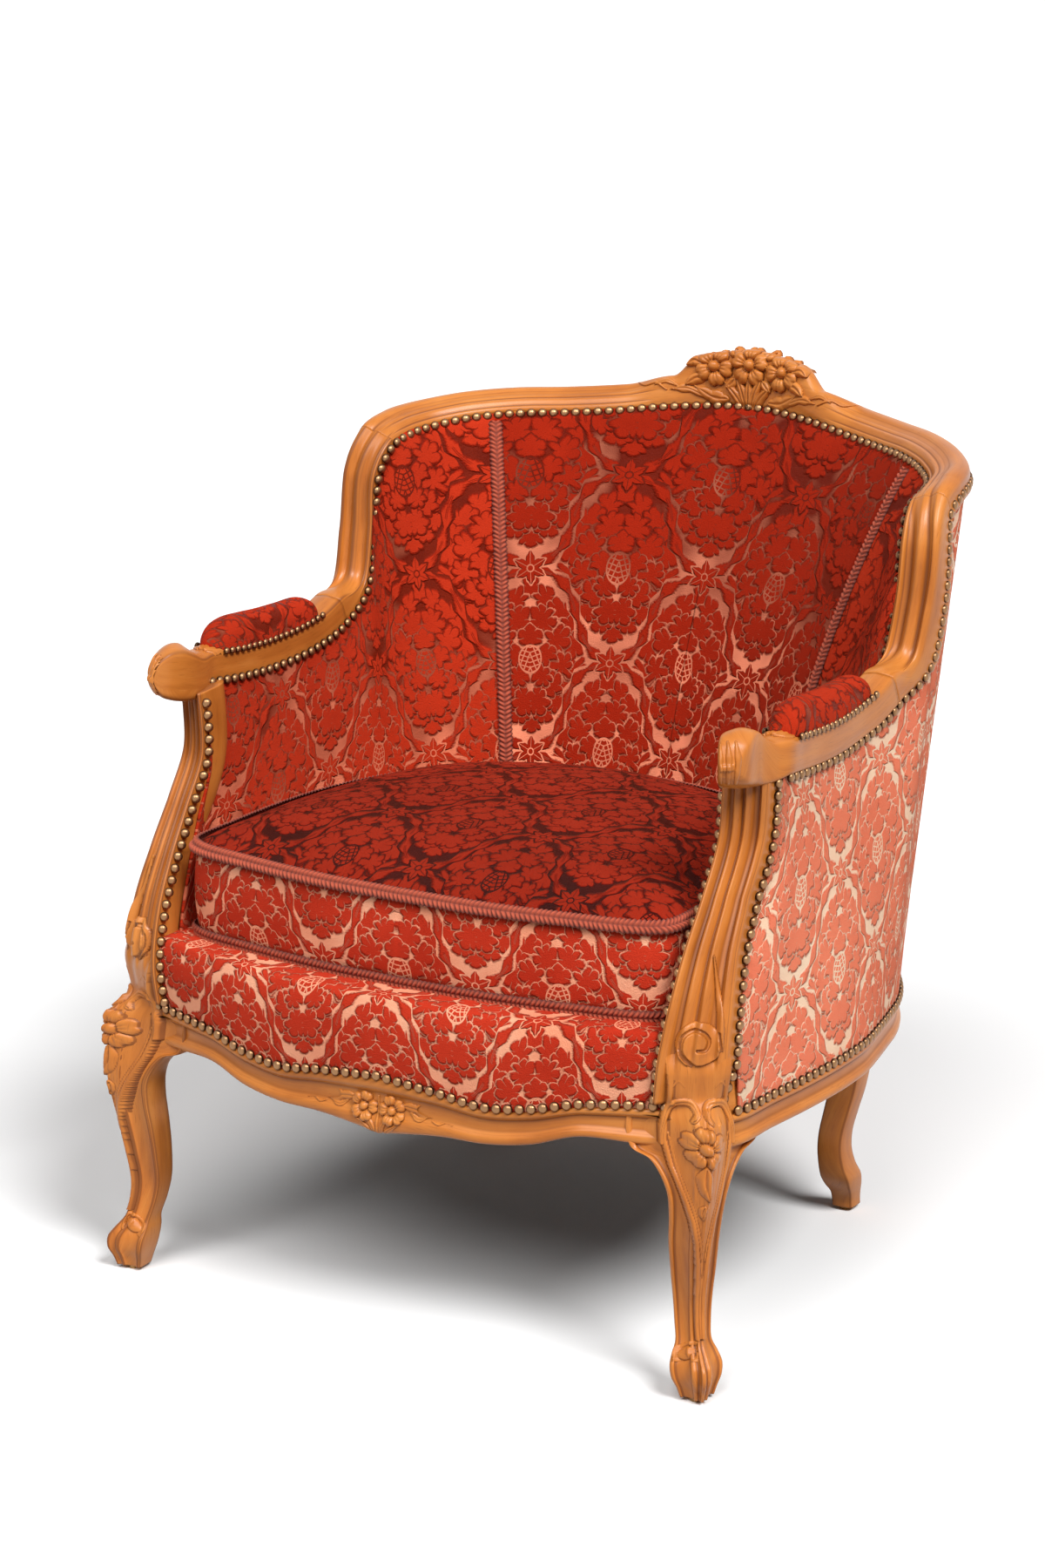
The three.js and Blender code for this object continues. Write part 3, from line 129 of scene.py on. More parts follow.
def mirror(points):
    return np.asarray(points) * (-1, 1, 1)


# A piece on the right and its mirror image on the left
SIDES = (("right", np.array), ("left", mirror))


# Rows that start or end in the middle of the chair, with their mirror images added
def whole(half):
    return np.concatenate([half, mirror(half[:-1][::-1])])


def widened(half):
    return np.concatenate([mirror(half[1:][::-1]), half])


def looped(half):
    return np.concatenate([half, mirror(half[1:-1][::-1])])


def srgb(*colour):
    shares = [channel / 255 for channel in colour]
    return tuple(share / 12.92 if share <= 0.04 else ((share + 0.055) / 1.055) ** 2.4 for share in shares)


# A cubic from one point to the next, given the slopes at both
def cubic(start, end, leaving, arriving, w):
    square = 3 * (end - start) - 2 * leaving - arriving
    cube = 2 * (start - end) + leaving + arriving
    return start + leaving * w + square * w ** 2 + cube * w ** 3


# Smooth curves through rows of points, read at stations counted in rows
def through(rows, stations):
    rows = np.asarray(rows, float)
    stations = np.atleast_1d(np.asarray(stations, float))
    ends = [2 * rows[:1] - rows[1:2], rows, 2 * rows[-1:] - rows[-2:-1]]
    padded = np.concatenate(ends)
    row = np.clip(np.floor(stations).astype(int), 0, len(rows) - 2)
    w = (stations - row).reshape((-1,) + (1,) * (rows.ndim - 1))
    p0, p1, p2, p3 = (padded[row + k] for k in range(4))
    d0, d1, d2 = (
        np.maximum(np.linalg.norm(b - a, axis=-1, keepdims=True), 1e-6) ** 0.5
        for a, b in ((p0, p1), (p1, p2), (p2, p3))
    )
    t1 = ((p1 - p0) / d0 - (p2 - p0) / (d0 + d1) + (p2 - p1) / d1) * d1
    t2 = ((p2 - p1) / d1 - (p3 - p1) / (d1 + d2) + (p3 - p2) / d2) * d1
    return cubic(p1, p2, t1, t2, w)


def heading(rows, stations):
    step = 1e-3
    ahead = through(rows, np.asarray(stations) + step)
    return unit(ahead - through(rows, np.asarray(stations) - step))


def outward_of(tangent):
    side = np.stack([tangent[..., 1], -tangent[..., 0], np.zeros_like(tangent[..., 0])], axis=-1)
    return unit(side)


# More points round each closed ring, on a smooth curve through the given ones
def rounded(rings, count):
    rings = np.asarray(rings, float)
    points = rings.shape[1]
    at = np.arange(count) * points / count
    row = np.floor(at).astype(int)
    w = (at - row)[None, :, None]
    p0, p1, p2, p3 = (rings[:, (row + k) % points] for k in (-1, 0, 1, 2))
    return cubic(p1, p2, (p2 - p0) / 2, (p3 - p1) / 2, w)


def spaced(points, step, closed=False):
    points = np.asarray(points, float)
    if closed:
        points = np.concatenate([points, points[:1]])
    lengths = np.linalg.norm(np.diff(points, axis=0), axis=1)
    along = np.concatenate([[0], np.cumsum(lengths)])
    count = max(2, round(along[-1] / step))
    marks = np.linspace(0, along[-1], count, endpoint=not closed)
    return np.stack([np.interp(marks, along, points[:, k]) for k in range(3)], axis=1)


def arc(points, axis):
    lengths = np.linalg.norm(np.diff(points, axis=axis), axis=-1)
    total = np.cumsum(lengths, axis=axis)
    return np.insert(total, 0, 0, axis=axis)


def mesh_of(name, bm):
    mesh = bpy.data.meshes.new(name)
    bm.to_mesh(mesh)
    bm.free()
    return mesh


def placed(name, data):
    made = bpy.data.objects.new(name, data)
    bpy.context.scene.collection.objects.link(made)
    return made


# A finished piece, which rides on its body
def piece_from(name, bm, body, material, replaced=()):
    mesh = mesh_of(name, bm)
    mesh.shade_smooth()
    mesh.materials.append(material)
    piece = placed(name, mesh)
    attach(piece, body)
    if replaced:
        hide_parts(*replaced)
    return piece


# How deep each point lies between its neighbours across the grid, against their spread
def hollows_of(points, closed):
    ends = (points[:, -1:], points[:, :1]) if closed else (points[:, :1], points[:, -1:])
    wrapped = np.concatenate([ends[0], points, ends[1]], axis=1)
    before, after = wrapped[:, :-2], wrapped[:, 2:]
    middle = (before + after) / 2 - points
    normal = np.cross(np.gradient(points, axis=1), np.gradient(points, axis=0))
    normal /= np.maximum(np.linalg.norm(normal, axis=-1, keepdims=True), 1e-9)
    spread = np.sum((after - before) ** 2, axis=-1) / 4
    return np.sum(middle * normal, axis=-1) / np.maximum(spread, 1e-6)


# A piece from a grid of points: a sheet, or a body whose columns close on themselves
def skin(name, points, body, material, replaced=(), closed=False, capped=False, uv=None,
         thickness=0, toward=None, hollow=None, kept=None):
    points = np.asarray(points, float)
    if closed:
        points = np.concatenate([points, points[:, :1]], axis=1)
    rows, columns = points.shape[:2]
    if uv is None:
        uv = np.stack([arc(points, 0), arc(points, 1)], axis=-1) / 1000
    if hollow is None:
        hollow = hollows_of(points[:, :-1] if closed else points, closed)
        if closed:
            hollow = np.concatenate([hollow, hollow[:, :1]], axis=1)
    bm = bmesh.new()
    cloth = bm.loops.layers.uv.new("cloth")
    deep = bm.verts.layers.float.new("hollow")
    bmesh.ops.create_grid(bm, x_segments=columns - 1, y_segments=rows - 1, size=1)
    marks = uv.reshape(-1, 2)
    for vertex, place, depth in zip(bm.verts, metres(points).reshape(-1, 3), hollow.reshape(-1)):
        vertex.co = place
        vertex[deep] = depth
    for face in bm.faces:
        for loop in face.loops:
            loop[cloth].uv = marks[loop.vert.index]
    if kept is not None:
        spare = [vertex for vertex, keep in zip(bm.verts, kept.reshape(-1)) if not keep]
        bmesh.ops.delete(bm, geom=spare, context="VERTS")
    if closed:
        bmesh.ops.remove_doubles(bm, verts=bm.verts, dist=1e-6)
    if capped:
        bmesh.ops.holes_fill(bm, edges=[edge for edge in bm.edges if edge.is_boundary], sides=0)
    if toward is None:
        bmesh.ops.recalc_face_normals(bm, faces=bm.faces)
    else:
        bm.normal_update()
        if sum((face.normal for face in bm.faces), Vector()).dot(Vector(toward)) < 0:
            bmesh.ops.reverse_faces(bm, faces=bm.faces)
    piece = piece_from(name, bm, body, material, replaced)
    if thickness:
        wall = piece.modifiers.new("thickness", "SOLIDIFY")
        wall.thickness = thickness / 1000
        wall.offset = -1
    return piece


def wooden(name, rings, solid):
    return skin(name, rings, "chair", walnut, [solid], closed=True, capped=True)


def wooden_pair(name, rings, solid):
    return [wooden(f"{name}_{side}", turned(rings), f"{solid}_{side}") for side, turned in SIDES]


def cover(name, points, material, solid, toward, uv):
    return skin(name, points, "chair", material, [solid], uv=uv, thickness=COVER, toward=toward)


# Shader maths written as plain sums
class Sum:
    def __init__(self, socket):
        self.socket = socket

    def made(self, kind, *others, clamp=False):
        sums = node(self.socket.id_data, "ShaderNodeMath", operation=kind, use_clamp=clamp)
        return Sum(fed(sums, dict(enumerate((self, *others)))).outputs[0])

    def __rsub__(self, other):
        return (self * -1) + other

    def soft(self, width=0.8):
        return (0 - self).ramp(-width, width)

    def choose(self, if_one, if_none):
        return self * (if_one - if_none) + if_none

    def ramp(self, low, high):
        return ((self - low) / (high - low)).made("ADD", 0.0, clamp=True)


SUMS = {
    "__add__": "ADD", "__sub__": "SUBTRACT", "__mul__": "MULTIPLY", "__truediv__": "DIVIDE",
    "abs": "ABSOLUTE", "min": "MINIMUM", "max": "MAXIMUM", "cos": "COSINE", "sin": "SINE", "root": "SQRT",
    "part": "FRACT", "wrap": "WRAP", "angle": "ARCTAN2", "below": "LESS_THAN",
}
for word, kind in SUMS.items():
    setattr(Sum, word, partialmethod(Sum.made, kind))


# Values, sums and sockets given to a node's inputs, by name or number, or to its own settings
def fed(made, settings):
    for name, value in settings.items():
        if isinstance(value, Sum):
            value = value.socket
        if isinstance(value, bpy.types.NodeSocket):
            made.id_data.links.new(value, made.inputs[name])
        elif isinstance(name, int) or name in made.inputs:
            made.inputs[name].default_value = value
        else:
            setattr(made, name, value)
    return made


def node(tree, kind, **settings):
    return fed(tree.nodes.new(kind), settings)


def noise(tree, place, scale, detail=1.0, rough=0.5, distortion=0.0):
    made = node(tree, "ShaderNodeTexNoise", Vector=place, Scale=scale, Detail=detail, Roughness=rough,
                Distortion=distortion)
    return Sum(made.outputs["Fac"])


def cloth_place(tree):
    return node(tree, "ShaderNodeUVMap", uv_map="cloth").outputs[0]


def object_place(tree):
    return node(tree, "ShaderNodeTexCoord").outputs["Object"]


def stretched_place(tree, place, scale):
    return node(tree, "ShaderNodeMapping", Vector=place, Scale=scale).outputs[0]


def hollow_in(tree):
    return Sum(node(tree, "ShaderNodeAttribute", attribute_name="hollow").outputs["Fac"])


def bumps(tree, height, strength, distance):
    return node(tree, "ShaderNodeBump", Strength=strength, Distance=distance, Height=height).outputs[0]


# Two colours mixed, each a socket or written as red, green and blue up to 255
def mixed(tree, factor, dark, light):
    mix = node(tree, "ShaderNodeMix", data_type="RGBA", Factor=factor)
    for number, colour in ((6, dark), (7, light)):
        fed(mix, {number: (*srgb(*colour), 1) if isinstance(colour, tuple) else colour})
    return mix.outputs[2]


# Colours along a tone, each at its own place
def toned(tree, tone, *stops):
    ramp = fed(node(tree, "ShaderNodeValToRGB"), {0: tone})
    elements = ramp.color_ramp.elements
    for place, _ in stops[1:-1]:
        elements.new(place)
    for element, (place, colour) in zip(elements, stops):
        element.position = place
        element.color = (*srgb(*colour), 1)
    return ramp.outputs[0]


def fresh(name):
    material = bpy.data.materials.new(name)
    material.use_nodes = True
    return material, material.node_tree, material.node_tree.nodes["Principled BSDF"]


# The damask's drawing: pile where the output is one, satin ground where it is nought.
# Bouquets stand half-drop in a trellis of curved stems, with a small flower at each crossing
REPEAT_WIDTH = 181
REPEAT_HEIGHT = 195

# Leaves of the bouquet: place across and up from its middle, radius, lobes and turn.
# The ring around it is the same above and below
RING_LEAVES = [
    (0, 71, 12, 7, 0.0), (15, 60, 12, 6, 0.8), (30, 48, 13, 7, 0.3), (43, 32, 13, 6, 0.1),
    (51, 13, 13, 7, 0.6),
]
INNER_LEAVES = [
    (13, 43, 14, 7, 0.4), (29, 23, 14, 6, 0.2), (35, -3, 14, 7, 0.9), (24, -26, 14, 6, 0.5),
    (8, -43, 14, 7, 0.1), (0, 27, 12, 5, 0.0), (17, 5, 12, 6, 0.7), (12, -17, 12, 7, 0.3),
]
RING_MIDDLE = 4
CONE_RADIUS = 13.2


def damask_group():
    tree = bpy.data.node_groups.new("damask_drawing", "ShaderNodeTree")
    tree.interface.new_socket("Place", in_out="INPUT", socket_type="NodeSocketVector")
    tree.interface.new_socket("Pile", in_out="OUTPUT", socket_type="NodeSocketFloat")
    place = node(tree, "NodeGroupInput").outputs[0]
    half_width = REPEAT_WIDTH / 2
    half_height = REPEAT_HEIGHT / 2

    # a point that a slow noise moves a little
    def strayed(point, where, scale, detail, reach):
        clouds = node(tree, "ShaderNodeTexNoise", Vector=where, Scale=scale, Detail=detail)
        drift = node(tree, "ShaderNodeSeparateColor", Color=clouds.outputs["Color"])
        return [(Sum(drift.outputs[k]) - 0.5) * reach + value for k, value in enumerate(point)]

    # the ragged edge of cut pile, and the cloth's slight waviness
    ragged = noise(tree, place, 420.0, 2.0) - 0.5
    parts = node(tree, "ShaderNodeSeparateXYZ", Vector=place)
    x, y = strayed([Sum(parts.outputs[k]) * 1000 for k in (0, 1)], place, 14.0, 1.0, 9)

    # one half of the repeat, mirrored
    side = x.wrap(half_width, -half_width).abs()
    level = y.wrap(half_height, -half_height)
    above = (0 - level).below(0)
    run = above.choose(side, half_width - side)
    fall = above.choose(level - half_height, level)
    length = math.hypot(half_width, half_height)
    slope_x, slope_y = half_width / length, -half_height / length
    along = run * slope_x + fall * slope_y
    beside = run * -slope_y + fall * slope_x
    turn = along * (2 * math.pi / length)
    path = turn.sin() * (length * 0.085) + (turn * 0.5).sin() * (length * 0.03)
    signed = beside - path
    outer = above.choose((0 - signed).below(0), signed.below(0))
    edge = signed.abs()
    across = outer.choose(half_width - side, side)
    rise = outer.choose(level - above.choose(half_height, -half_height), level)

    # curved stems with pointed hooks like acanthus leaves on both sides
    hook = (along / 26.0 + edge * 0.05).part()
    hooks = (hook * 4.4 - 0.3).max(0) * (1 - hook.ramp(0.74, 0.94))
    outline = hooks * 1.5 + 2.2
    stem = (edge - outline + ragged * 3.0).soft(1.6)
    rib = (edge - 0.8).abs().below(0.4) * (along / 7.0).sin().ramp(-0.2, 0.1)
    stem = stem * (1 - rib * 0.5)

    # scalloped leaves of the bouquet, laid over one another with a thin line of ground around each
    join = node(tree, "ShaderNodeCombineXYZ", X=across, Y=rise)
    leaf_x, leaf_y = strayed([across, rise], join.outputs[0], 0.07, 0.0, 10)

    def laid(under, height, middle_x, middle_y, size, lobes, start):
        dx = leaf_x - middle_x
        dy = height - middle_y
        away = (dx * dx + dy * dy).root()
        scallop = (dx.angle(dy) * (lobes / 2) + start).cos().abs()
        gap = away - scallop * (size * 0.3) - size * 0.76 + ragged * 3.0
        vein = (scallop * away).below(0.9) * (1 - away.below(size * 0.5))
        return (under * (1 - gap.below(1.7))).max(gap.soft(2.0) * (1 - vein * 0.6))

    bouquet = stem * 0
    for rows, height in ((RING_LEAVES, (leaf_y - RING_MIDDLE).abs()), (INNER_LEAVES, leaf_y)):
        for row in rows:
            bouquet = laid(bouquet, height, *row)

    # checked cone, ringed by ground, in the middle of the bouquet
    cone_away = (across * across * 1.25 + (rise - 1) * (rise - 1) * 0.7).root()
    lines = [((first * 0.94 + second) / 5.4 + 0.5).wrap(0.5, -0.5).abs()
             for first, second in ((across, rise * 0.34), (rise, across * -0.34))]
    checks = lines[0].min(lines[1]).below(0.13)
    rim = (cone_away - CONE_RADIUS).abs().below(0.9)
    cone = cone_away.below(CONE_RADIUS)
    bouquet = bouquet.max(cone) * (1 - (cone * checks).max(rim))

    def blossom(dx, dy, petals, size, dent, gap):
        away = (dx * dx + dy * dy).root()
        swing = dx.angle(dy)
        rim_line = (swing * petals).cos() * dent + (swing * (petals * 3)).cos() * (dent * 0.22) + size
        body = (away - rim_line + ragged * 1.2).soft()
        room = (away - rim_line - gap).below(0)
        petal = ((swing * (petals / 2)).sin().abs() * away).below(0.9) * (1 - away.below(size * 0.34))
        heart = (away - size * 0.27).abs().below(0.75)
        return body * (1 - petal.max(heart)), room

    # a small flower at each crossing of the stems
    far_x = above.choose(half_width - side, side)
    far_y = above.choose(level, level + half_height)
    near = (run * run + fall * fall).below(far_x * far_x + far_y * far_y)
    rosette, room = blossom(near.choose(run, far_x), near.choose(fall, far_y), 6, 13.0, 3.4, 2.6)
    drawn = bouquet * (1 - (edge - outline).below(3.2))
    drawn = (drawn.max(stem) * (1 - room)).max(rosette)
    node(tree, "NodeGroupOutput", Pile=drawn)
    return tree


# Cut velvet: pile that stands on a satin ground. Where highlight heights are given, the satin below them,
# toward the seat, takes a lighter colour as a painted highlight where light catches it
def damask(name, pile, pile_dark_and_shaded, ground, ground_dark, satin=0.42, painted_highlight_heights=None, painted_highlight_colour=None):
    material, tree, shader = fresh(name)
    place = cloth_place(tree)
    on_chair = object_place(tree)
    drawn = Sum(node(tree, "ShaderNodeGroup", node_tree=DRAWING, Place=place).outputs[0])
    patch = noise(tree, on_chair, 9.0, 3.0, 0.6).ramp(0.36, 0.66)
    fuzz = noise(tree, on_chair, 900.0, 2.0).ramp(0.3, 0.7)
    tone = patch * 0.6 + fuzz * 0.4
    satin_tone = mixed(tree, tone, ground_dark, ground)
    # painted highlight: the satin turns lighter below the given heights
    if painted_highlight_heights is not None:
        low, high = painted_highlight_heights
        height = Sum(node(tree, "ShaderNodeSeparateXYZ", Vector=on_chair).outputs[2])
        painted_highlight = (height + (patch - 0.5) * 0.22).ramp(high, low)
        satin_tone = mixed(tree, painted_highlight, satin_tone, painted_highlight_colour)
    covered = drawn.ramp(0.32, 0.6)
    # painted shade: the satin darkens beside the pile's edges and along the thin lines between leaves
    satin_tone = mixed(tree, drawn.ramp(0.02, 0.3) * 0.42, satin_tone, pile_dark_and_shaded)
    # the pile is darker toward its edges, a painted shade of its raised rim, and varies in random patches
    stood = mixed(tree, drawn.ramp(0.5, 1.0) * 0.55 + tone * 0.45, pile_dark_and_shaded, pile)
    threads = Sum(node(tree, "ShaderNodeTexWave", Vector=place, Scale=700.0, Distortion=0.3).outputs["Fac"])
    fed(shader, {
        "Base Color": mixed(tree, covered, satin_tone, stood),
        "Roughness": covered.choose(0.95, satin),
        "Sheen Weight": 0.07,
        "Sheen Roughness": 0.3,
        "Sheen Tint": (1.0, 0.24, 0.12, 1),
        "Specular IOR Level": 0.07,
        "Normal": bumps(tree, drawn * 0.9 + fuzz * 0.18 + threads * 0.05, 1.0, 0.003),
    })
    return material


# Honey walnut under satin varnish, darker in its hollows and with pale streaks of grain
def varnished(name, light, middle, dark):
    material, tree, shader = fresh(name)
    place = cloth_place(tree)
    streak = noise(tree, stretched_place(tree, place, (7, 70, 1)), 1.0, 6.0, 0.62, 0.4).ramp(0.32, 0.68)
    pore = noise(tree, stretched_place(tree, place, (60, 900, 1)), 1.0, 3.0).ramp(0.58, 0.72) * 0.35
    cloud = noise(tree, object_place(tree), 8.0, 3.0, 0.55).ramp(0.35, 0.68)
    groove = hollow_in(tree).ramp(0.005, 0.13) * 0.66
    tone = streak * 0.4 + cloud * 0.4 + 0.1
    bare = toned(tree, tone, (0, dark), (0.48, middle), (1, light))
    fed(shader, {
        "Base Color": mixed(tree, pore.max(groove), bare, (96, 46, 18)),
        "Roughness": streak * 0.1 + groove * 0.25 + 0.3,
        "Specular IOR Level": 0.24,
        "Coat Weight": 0.1,
        "Coat Roughness": 0.2,
        "Normal": bumps(tree, streak * 0.25 - pore * 0.3, 0.2, 0.0006),
    })
    return material


# Looped braid, lighter on its crests and darker between its loops as painted light and shade, with random
# yarn tone
def braided(name):
    material, tree, shader = fresh(name)
    place = object_place(tree)
    yarn = noise(tree, place, 900.0, 2.0)
    # painted light on the loops' crests and painted shade between them
    crest = (0 - hollow_in(tree)).ramp(-0.35, 0.35)
    tone = crest * 0.6 + yarn * 0.2 + noise(tree, place, 25.0, 2.0) * 0.2
    fed(shader, {
        "Base Color": toned(tree, tone, (0.15, (72, 18, 8)), (0.85, (176, 76, 48))),
        "Roughness": 0.8,
        "Sheen Weight": 0.08,
        "Normal": bumps(tree, yarn, 0.6, 0.0006),
    })
    return material


# Plain materials with a little grain: brass, cloth, hidden wood and wire
def plain(name, dark, light, scale, rough, metallic=0.0, stretch=(1, 1, 1)):
    material, tree, shader = fresh(name)
    grain = noise(tree, stretched_place(tree, object_place(tree), stretch), scale, 4.0, 0.6)
    fed(shader, {
        "Base Color": toned(tree, grain, (0.3, dark), (0.7, light)),
        "Roughness": grain * 0.2 + (rough - 0.1),
        "Metallic": metallic,
        "Normal": bumps(tree, grain, 0.4, 0.0004),
    })
    return material


# Antique brass of the nails with random tarnish: light on the crown, and brown at the rim as painted shade
# where the dome meets the cloth
def brass_with_painted_rim_shade(name):
    material, tree, shader = fresh(name)
    tarnish = noise(tree, object_place(tree), 160.0, 3.0)
    # painted shade toward the rim, with random tarnish over it
    tone = hollow_in(tree) * 0.9 + (tarnish - 0.5) * 0.7
    fed(shader, {
        "Base Color": toned(tree, tone, (0.25, (150, 112, 78)), (0.95, (44, 26, 16))),
        "Metallic": 0.9,
        "Roughness": tarnish * 0.2 + 0.24,
    })
    return material


DRAWING = damask_group()
# Copies of one cut velvet, each with painted light and shade for how its piece faces the lamps: pale lit
# satin on the front band, the cushion's sides and the outer panels, dark shaded satin on the cushion's top,
# the inside back and the arms, which also get a painted highlight low down
velvet_painted_lit_front = damask("velvet_front_painted_lit", (208, 58, 34), (142, 22, 6), (255, 186, 150), (242, 146, 110))
velvet_painted_lit_outside = damask("velvet_outside_painted_lit", (250, 140, 106), (216, 90, 60), (255, 226, 194), (252, 200, 164))
velvet_painted_light_and_shade_back = damask("velvet_back_painted_light_and_shade", (166, 38, 15), (108, 16, 3), (116, 28, 9), (82, 15, 4), 0.42,
                     (0.45, 0.8), (255, 152, 116))
velvet_painted_light_and_shade_arm = damask("velvet_arm_painted_light_and_shade", (198, 54, 26), (132, 22, 5), (130, 34, 12), (84, 14, 4), 0.42,
                    (0.34, 0.66), (250, 140, 104))
velvet_painted_shade_top = damask("velvet_top_painted_shade", (162, 42, 22), (104, 15, 5), (66, 5, 1), (36, 2, 0), 0.5)
walnut = varnished("walnut", (206, 134, 64), (186, 110, 44), (150, 80, 26))
gimp = braided("gimp")
brass = plain("antique_brass", (96, 66, 36), (176, 138, 88), 260, 0.38, 1.0)
nail_brass = brass_with_painted_rim_shade("nail_brass")
jute = plain("jute", (150, 124, 84), (196, 170, 124), 700, 0.95)
linen = plain("linen", (166, 144, 108), (204, 186, 150), 900, 0.95)
lining = plain("black_lining", (24, 22, 22), (46, 42, 40), 1200, 0.95)
beech = plain("beech", (170, 128, 80), (206, 166, 112), 30, 0.7, 0.0, (8, 8, 1))
steel = plain("dull_steel", (96, 94, 90), (150, 146, 140), 300, 0.45, 1.0)

# Plan of the rails' outer face, from the middle of the front to the middle of the rear
RAIL_PLAN = [spot(x, y, 0) for x, y in (
    (0, -1), (0.185, -0.995), (0.33, -0.984), (0.458, -0.965), (0.59, -0.933), (0.763, -0.879),
    (0.91, -0.828), (0.966, -0.745), (0.98, -0.59), (0.995, -0.403), (1, -0.215), (0.99, -0.067),
    (0.966, 0.046), (0.94, 0.145), (0.912, 0.242), (0.872, 0.334), (0.822, 0.418), (0.764, 0.497),
    (0.697, 0.57), (0.592, 0.618), (0.4, 0.642), (0.2, 0.655), (0, 0.66),
)]
PLAN_LAST = len(RAIL_PLAN) - 1


def plan_points(stations, inset, z):
    place = through(RAIL_PLAN, stations)
    place = place - outward_of(heading(RAIL_PLAN, stations)) * np.reshape(inset, (-1, 1))
    place[:, 2] = z
    return place


# The lower inner edge of the show-wood, up the arm, the wing and the top rail to the crest
FRAME_EDGE = [spot(x, y, lerp(ARM_LINE, SHOULDER_LINE, rise)) for x, y, rise in (
    (0.866, -0.49, 0.03), (0.858, -0.35, 0.01), (0.855, -0.195, 0.004), (0.848, -0.022, 0.026),
    (0.85, 0.133, 0.088), (0.85, 0.25, 0.229), (0.858, 0.3, 0.493), (0.86, 0.322, 0.766),
    (0.85, 0.375, 0.899), (0.845, 0.453, 0.938), (0.82, 0.538, 0.96), (0.745, 0.63, 0.987),
    (0.64, 0.72, 1), (0.52, 0.8, 1), (0.395, 0.86, 1.013), (0.26, 0.905, 1.04), (0.126, 0.944, 1.057),
    (0, 0.958, 1.066), (-0.126, 0.944, 1.057),
)]
CREST = len(FRAME_EDGE) - 2
WING_START = 4.15
WING_END = 8.15

# Sections of the show-wood: share of the width outward, share of the face's height
ARM_SECTION = [
    (0, 0), (0, 0.35), (0, 0.7), (0.02, 0.88), (0.08, 1), (0.28, 1.08), (0.5, 1.12), (0.72, 1.08),
    (0.92, 1), (0.98, 0.88), (1, 0.7), (1, 0.35), (1, 0), (0.94, -0.3), (0.5, -0.38), (0.06, -0.3),
]
WING_SECTION = [
    (0, 0), (0.04, 0.2), (0.1, 0.26), (0.17, 0.1), (0.3, 0.04), (0.42, 0.22), (0.5, 0.28), (0.58, 0.22),
    (0.7, 0.04), (0.8, 0.12), (0.87, 0.3), (0.95, 0.24), (1, 0), (1, -0.8), (0.92, -1.35), (0.08, -1.35),
]
TOP_SECTION = [
    (0, 0), (0.01, 0.22), (0.06, 0.3), (0.09, 0.42), (0.15, 0.58), (0.24, 0.62), (0.3, 0.7), (0.38, 0.76),
    (0.46, 0.86), (0.54, 1), (0.66, 1.05), (0.82, 0.98), (0.95, 0.72), (0.98, 0.2), (0.96, -0.35),
    (0.15, -0.35),
]
CREST_SECTION = [
    (0, 0), (-0.02, 0.12), (-0.02, 0.25), (0, 0.38), (0.02, 0.5), (0.04, 0.62), (0.06, 0.74), (0.09, 0.85),
    (0.14, 0.95), (0.22, 1), (0.36, 1), (0.5, 0.9), (0.62, 0.6), (0.74, 0.2), (0.8, -0.17), (0.15, -0.17),
]
SECTION_KEYS = [
    (0, ARM_SECTION, ARM_WIDTH, FACE_HEIGHT), (4.15, ARM_SECTION, ARM_WIDTH, FACE_HEIGHT),
    (5.3, WING_SECTION, MEMBER_WIDTH, FACE_HEIGHT), (6.5, WING_SECTION, MEMBER_WIDTH, FACE_HEIGHT),
    (9.4, TOP_SECTION, MEMBER_WIDTH, TOP_FACE_HEIGHT), (14.2, TOP_SECTION, MEMBER_WIDTH, TOP_FACE_HEIGHT),
    (15.2, CREST_SECTION, MEMBER_WIDTH, lerp(TOP_FACE_HEIGHT, CREST_RISE, 0.25)),
    (15.8, CREST_SECTION, MEMBER_WIDTH, lerp(TOP_FACE_HEIGHT, CREST_RISE, 0.85)),
    (CREST, CREST_SECTION, MEMBER_WIDTH, CREST_RISE),
]


def section_at(station):
    following = next((i for i, key in enumerate(SECTION_KEYS) if key[0] >= station), len(SECTION_KEYS) - 1)
    before, after = SECTION_KEYS[max(1, following) - 1], SECTION_KEYS[max(1, following)]
    share = smoothstep(station, before[0], after[0])
    return [lerp(np.array(low, float), np.array(high, float), share)
            for low, high in zip(before[1:], after[1:])]


# The moulding turns evenly where the line is steep, so its direction is a mean along the line
def frame_at(stations):
    stations = np.asarray(stations, float)
    along = heading(FRAME_EDGE, stations)
    steep = smoothstep(np.abs(along[:, 2]), 0.3, 0.8)[:, None]
    near = sum(heading(FRAME_EDGE, np.clip(stations + shift, 0.01, CREST + 0.99))
               for shift in np.linspace(-1.2, 1.2, 7))
    out = unit(lerp(outward_of(along), outward_of(near * (1, 1, 0)), steep))
    return through(FRAME_EDGE, stations), along, out, unit(np.cross(out, along))


def ring_of(place, out, facing, shares, width, height):
    shares = np.asarray(shares, float)
    return place + out * (shares[:, :1] * width) + facing * (shares[:, 1:] * height)


def frame_rings(start, end, step, gap_start=0.0, gap_end=0.0):
    stations = np.linspace(start, end, max(2, round((end - start) / step) + 1))
    place, along, out, facing = frame_at(stations)
    place[0] += along[0] * gap_start
    place[-1] -= along[-1] * gap_end
    rings = []
    for i, station in enumerate(stations):
        shares, width, height = section_at(station)
        rings.append(ring_of(place[i], out[i], facing[i], shares, width, height))
    return np.array(rings)


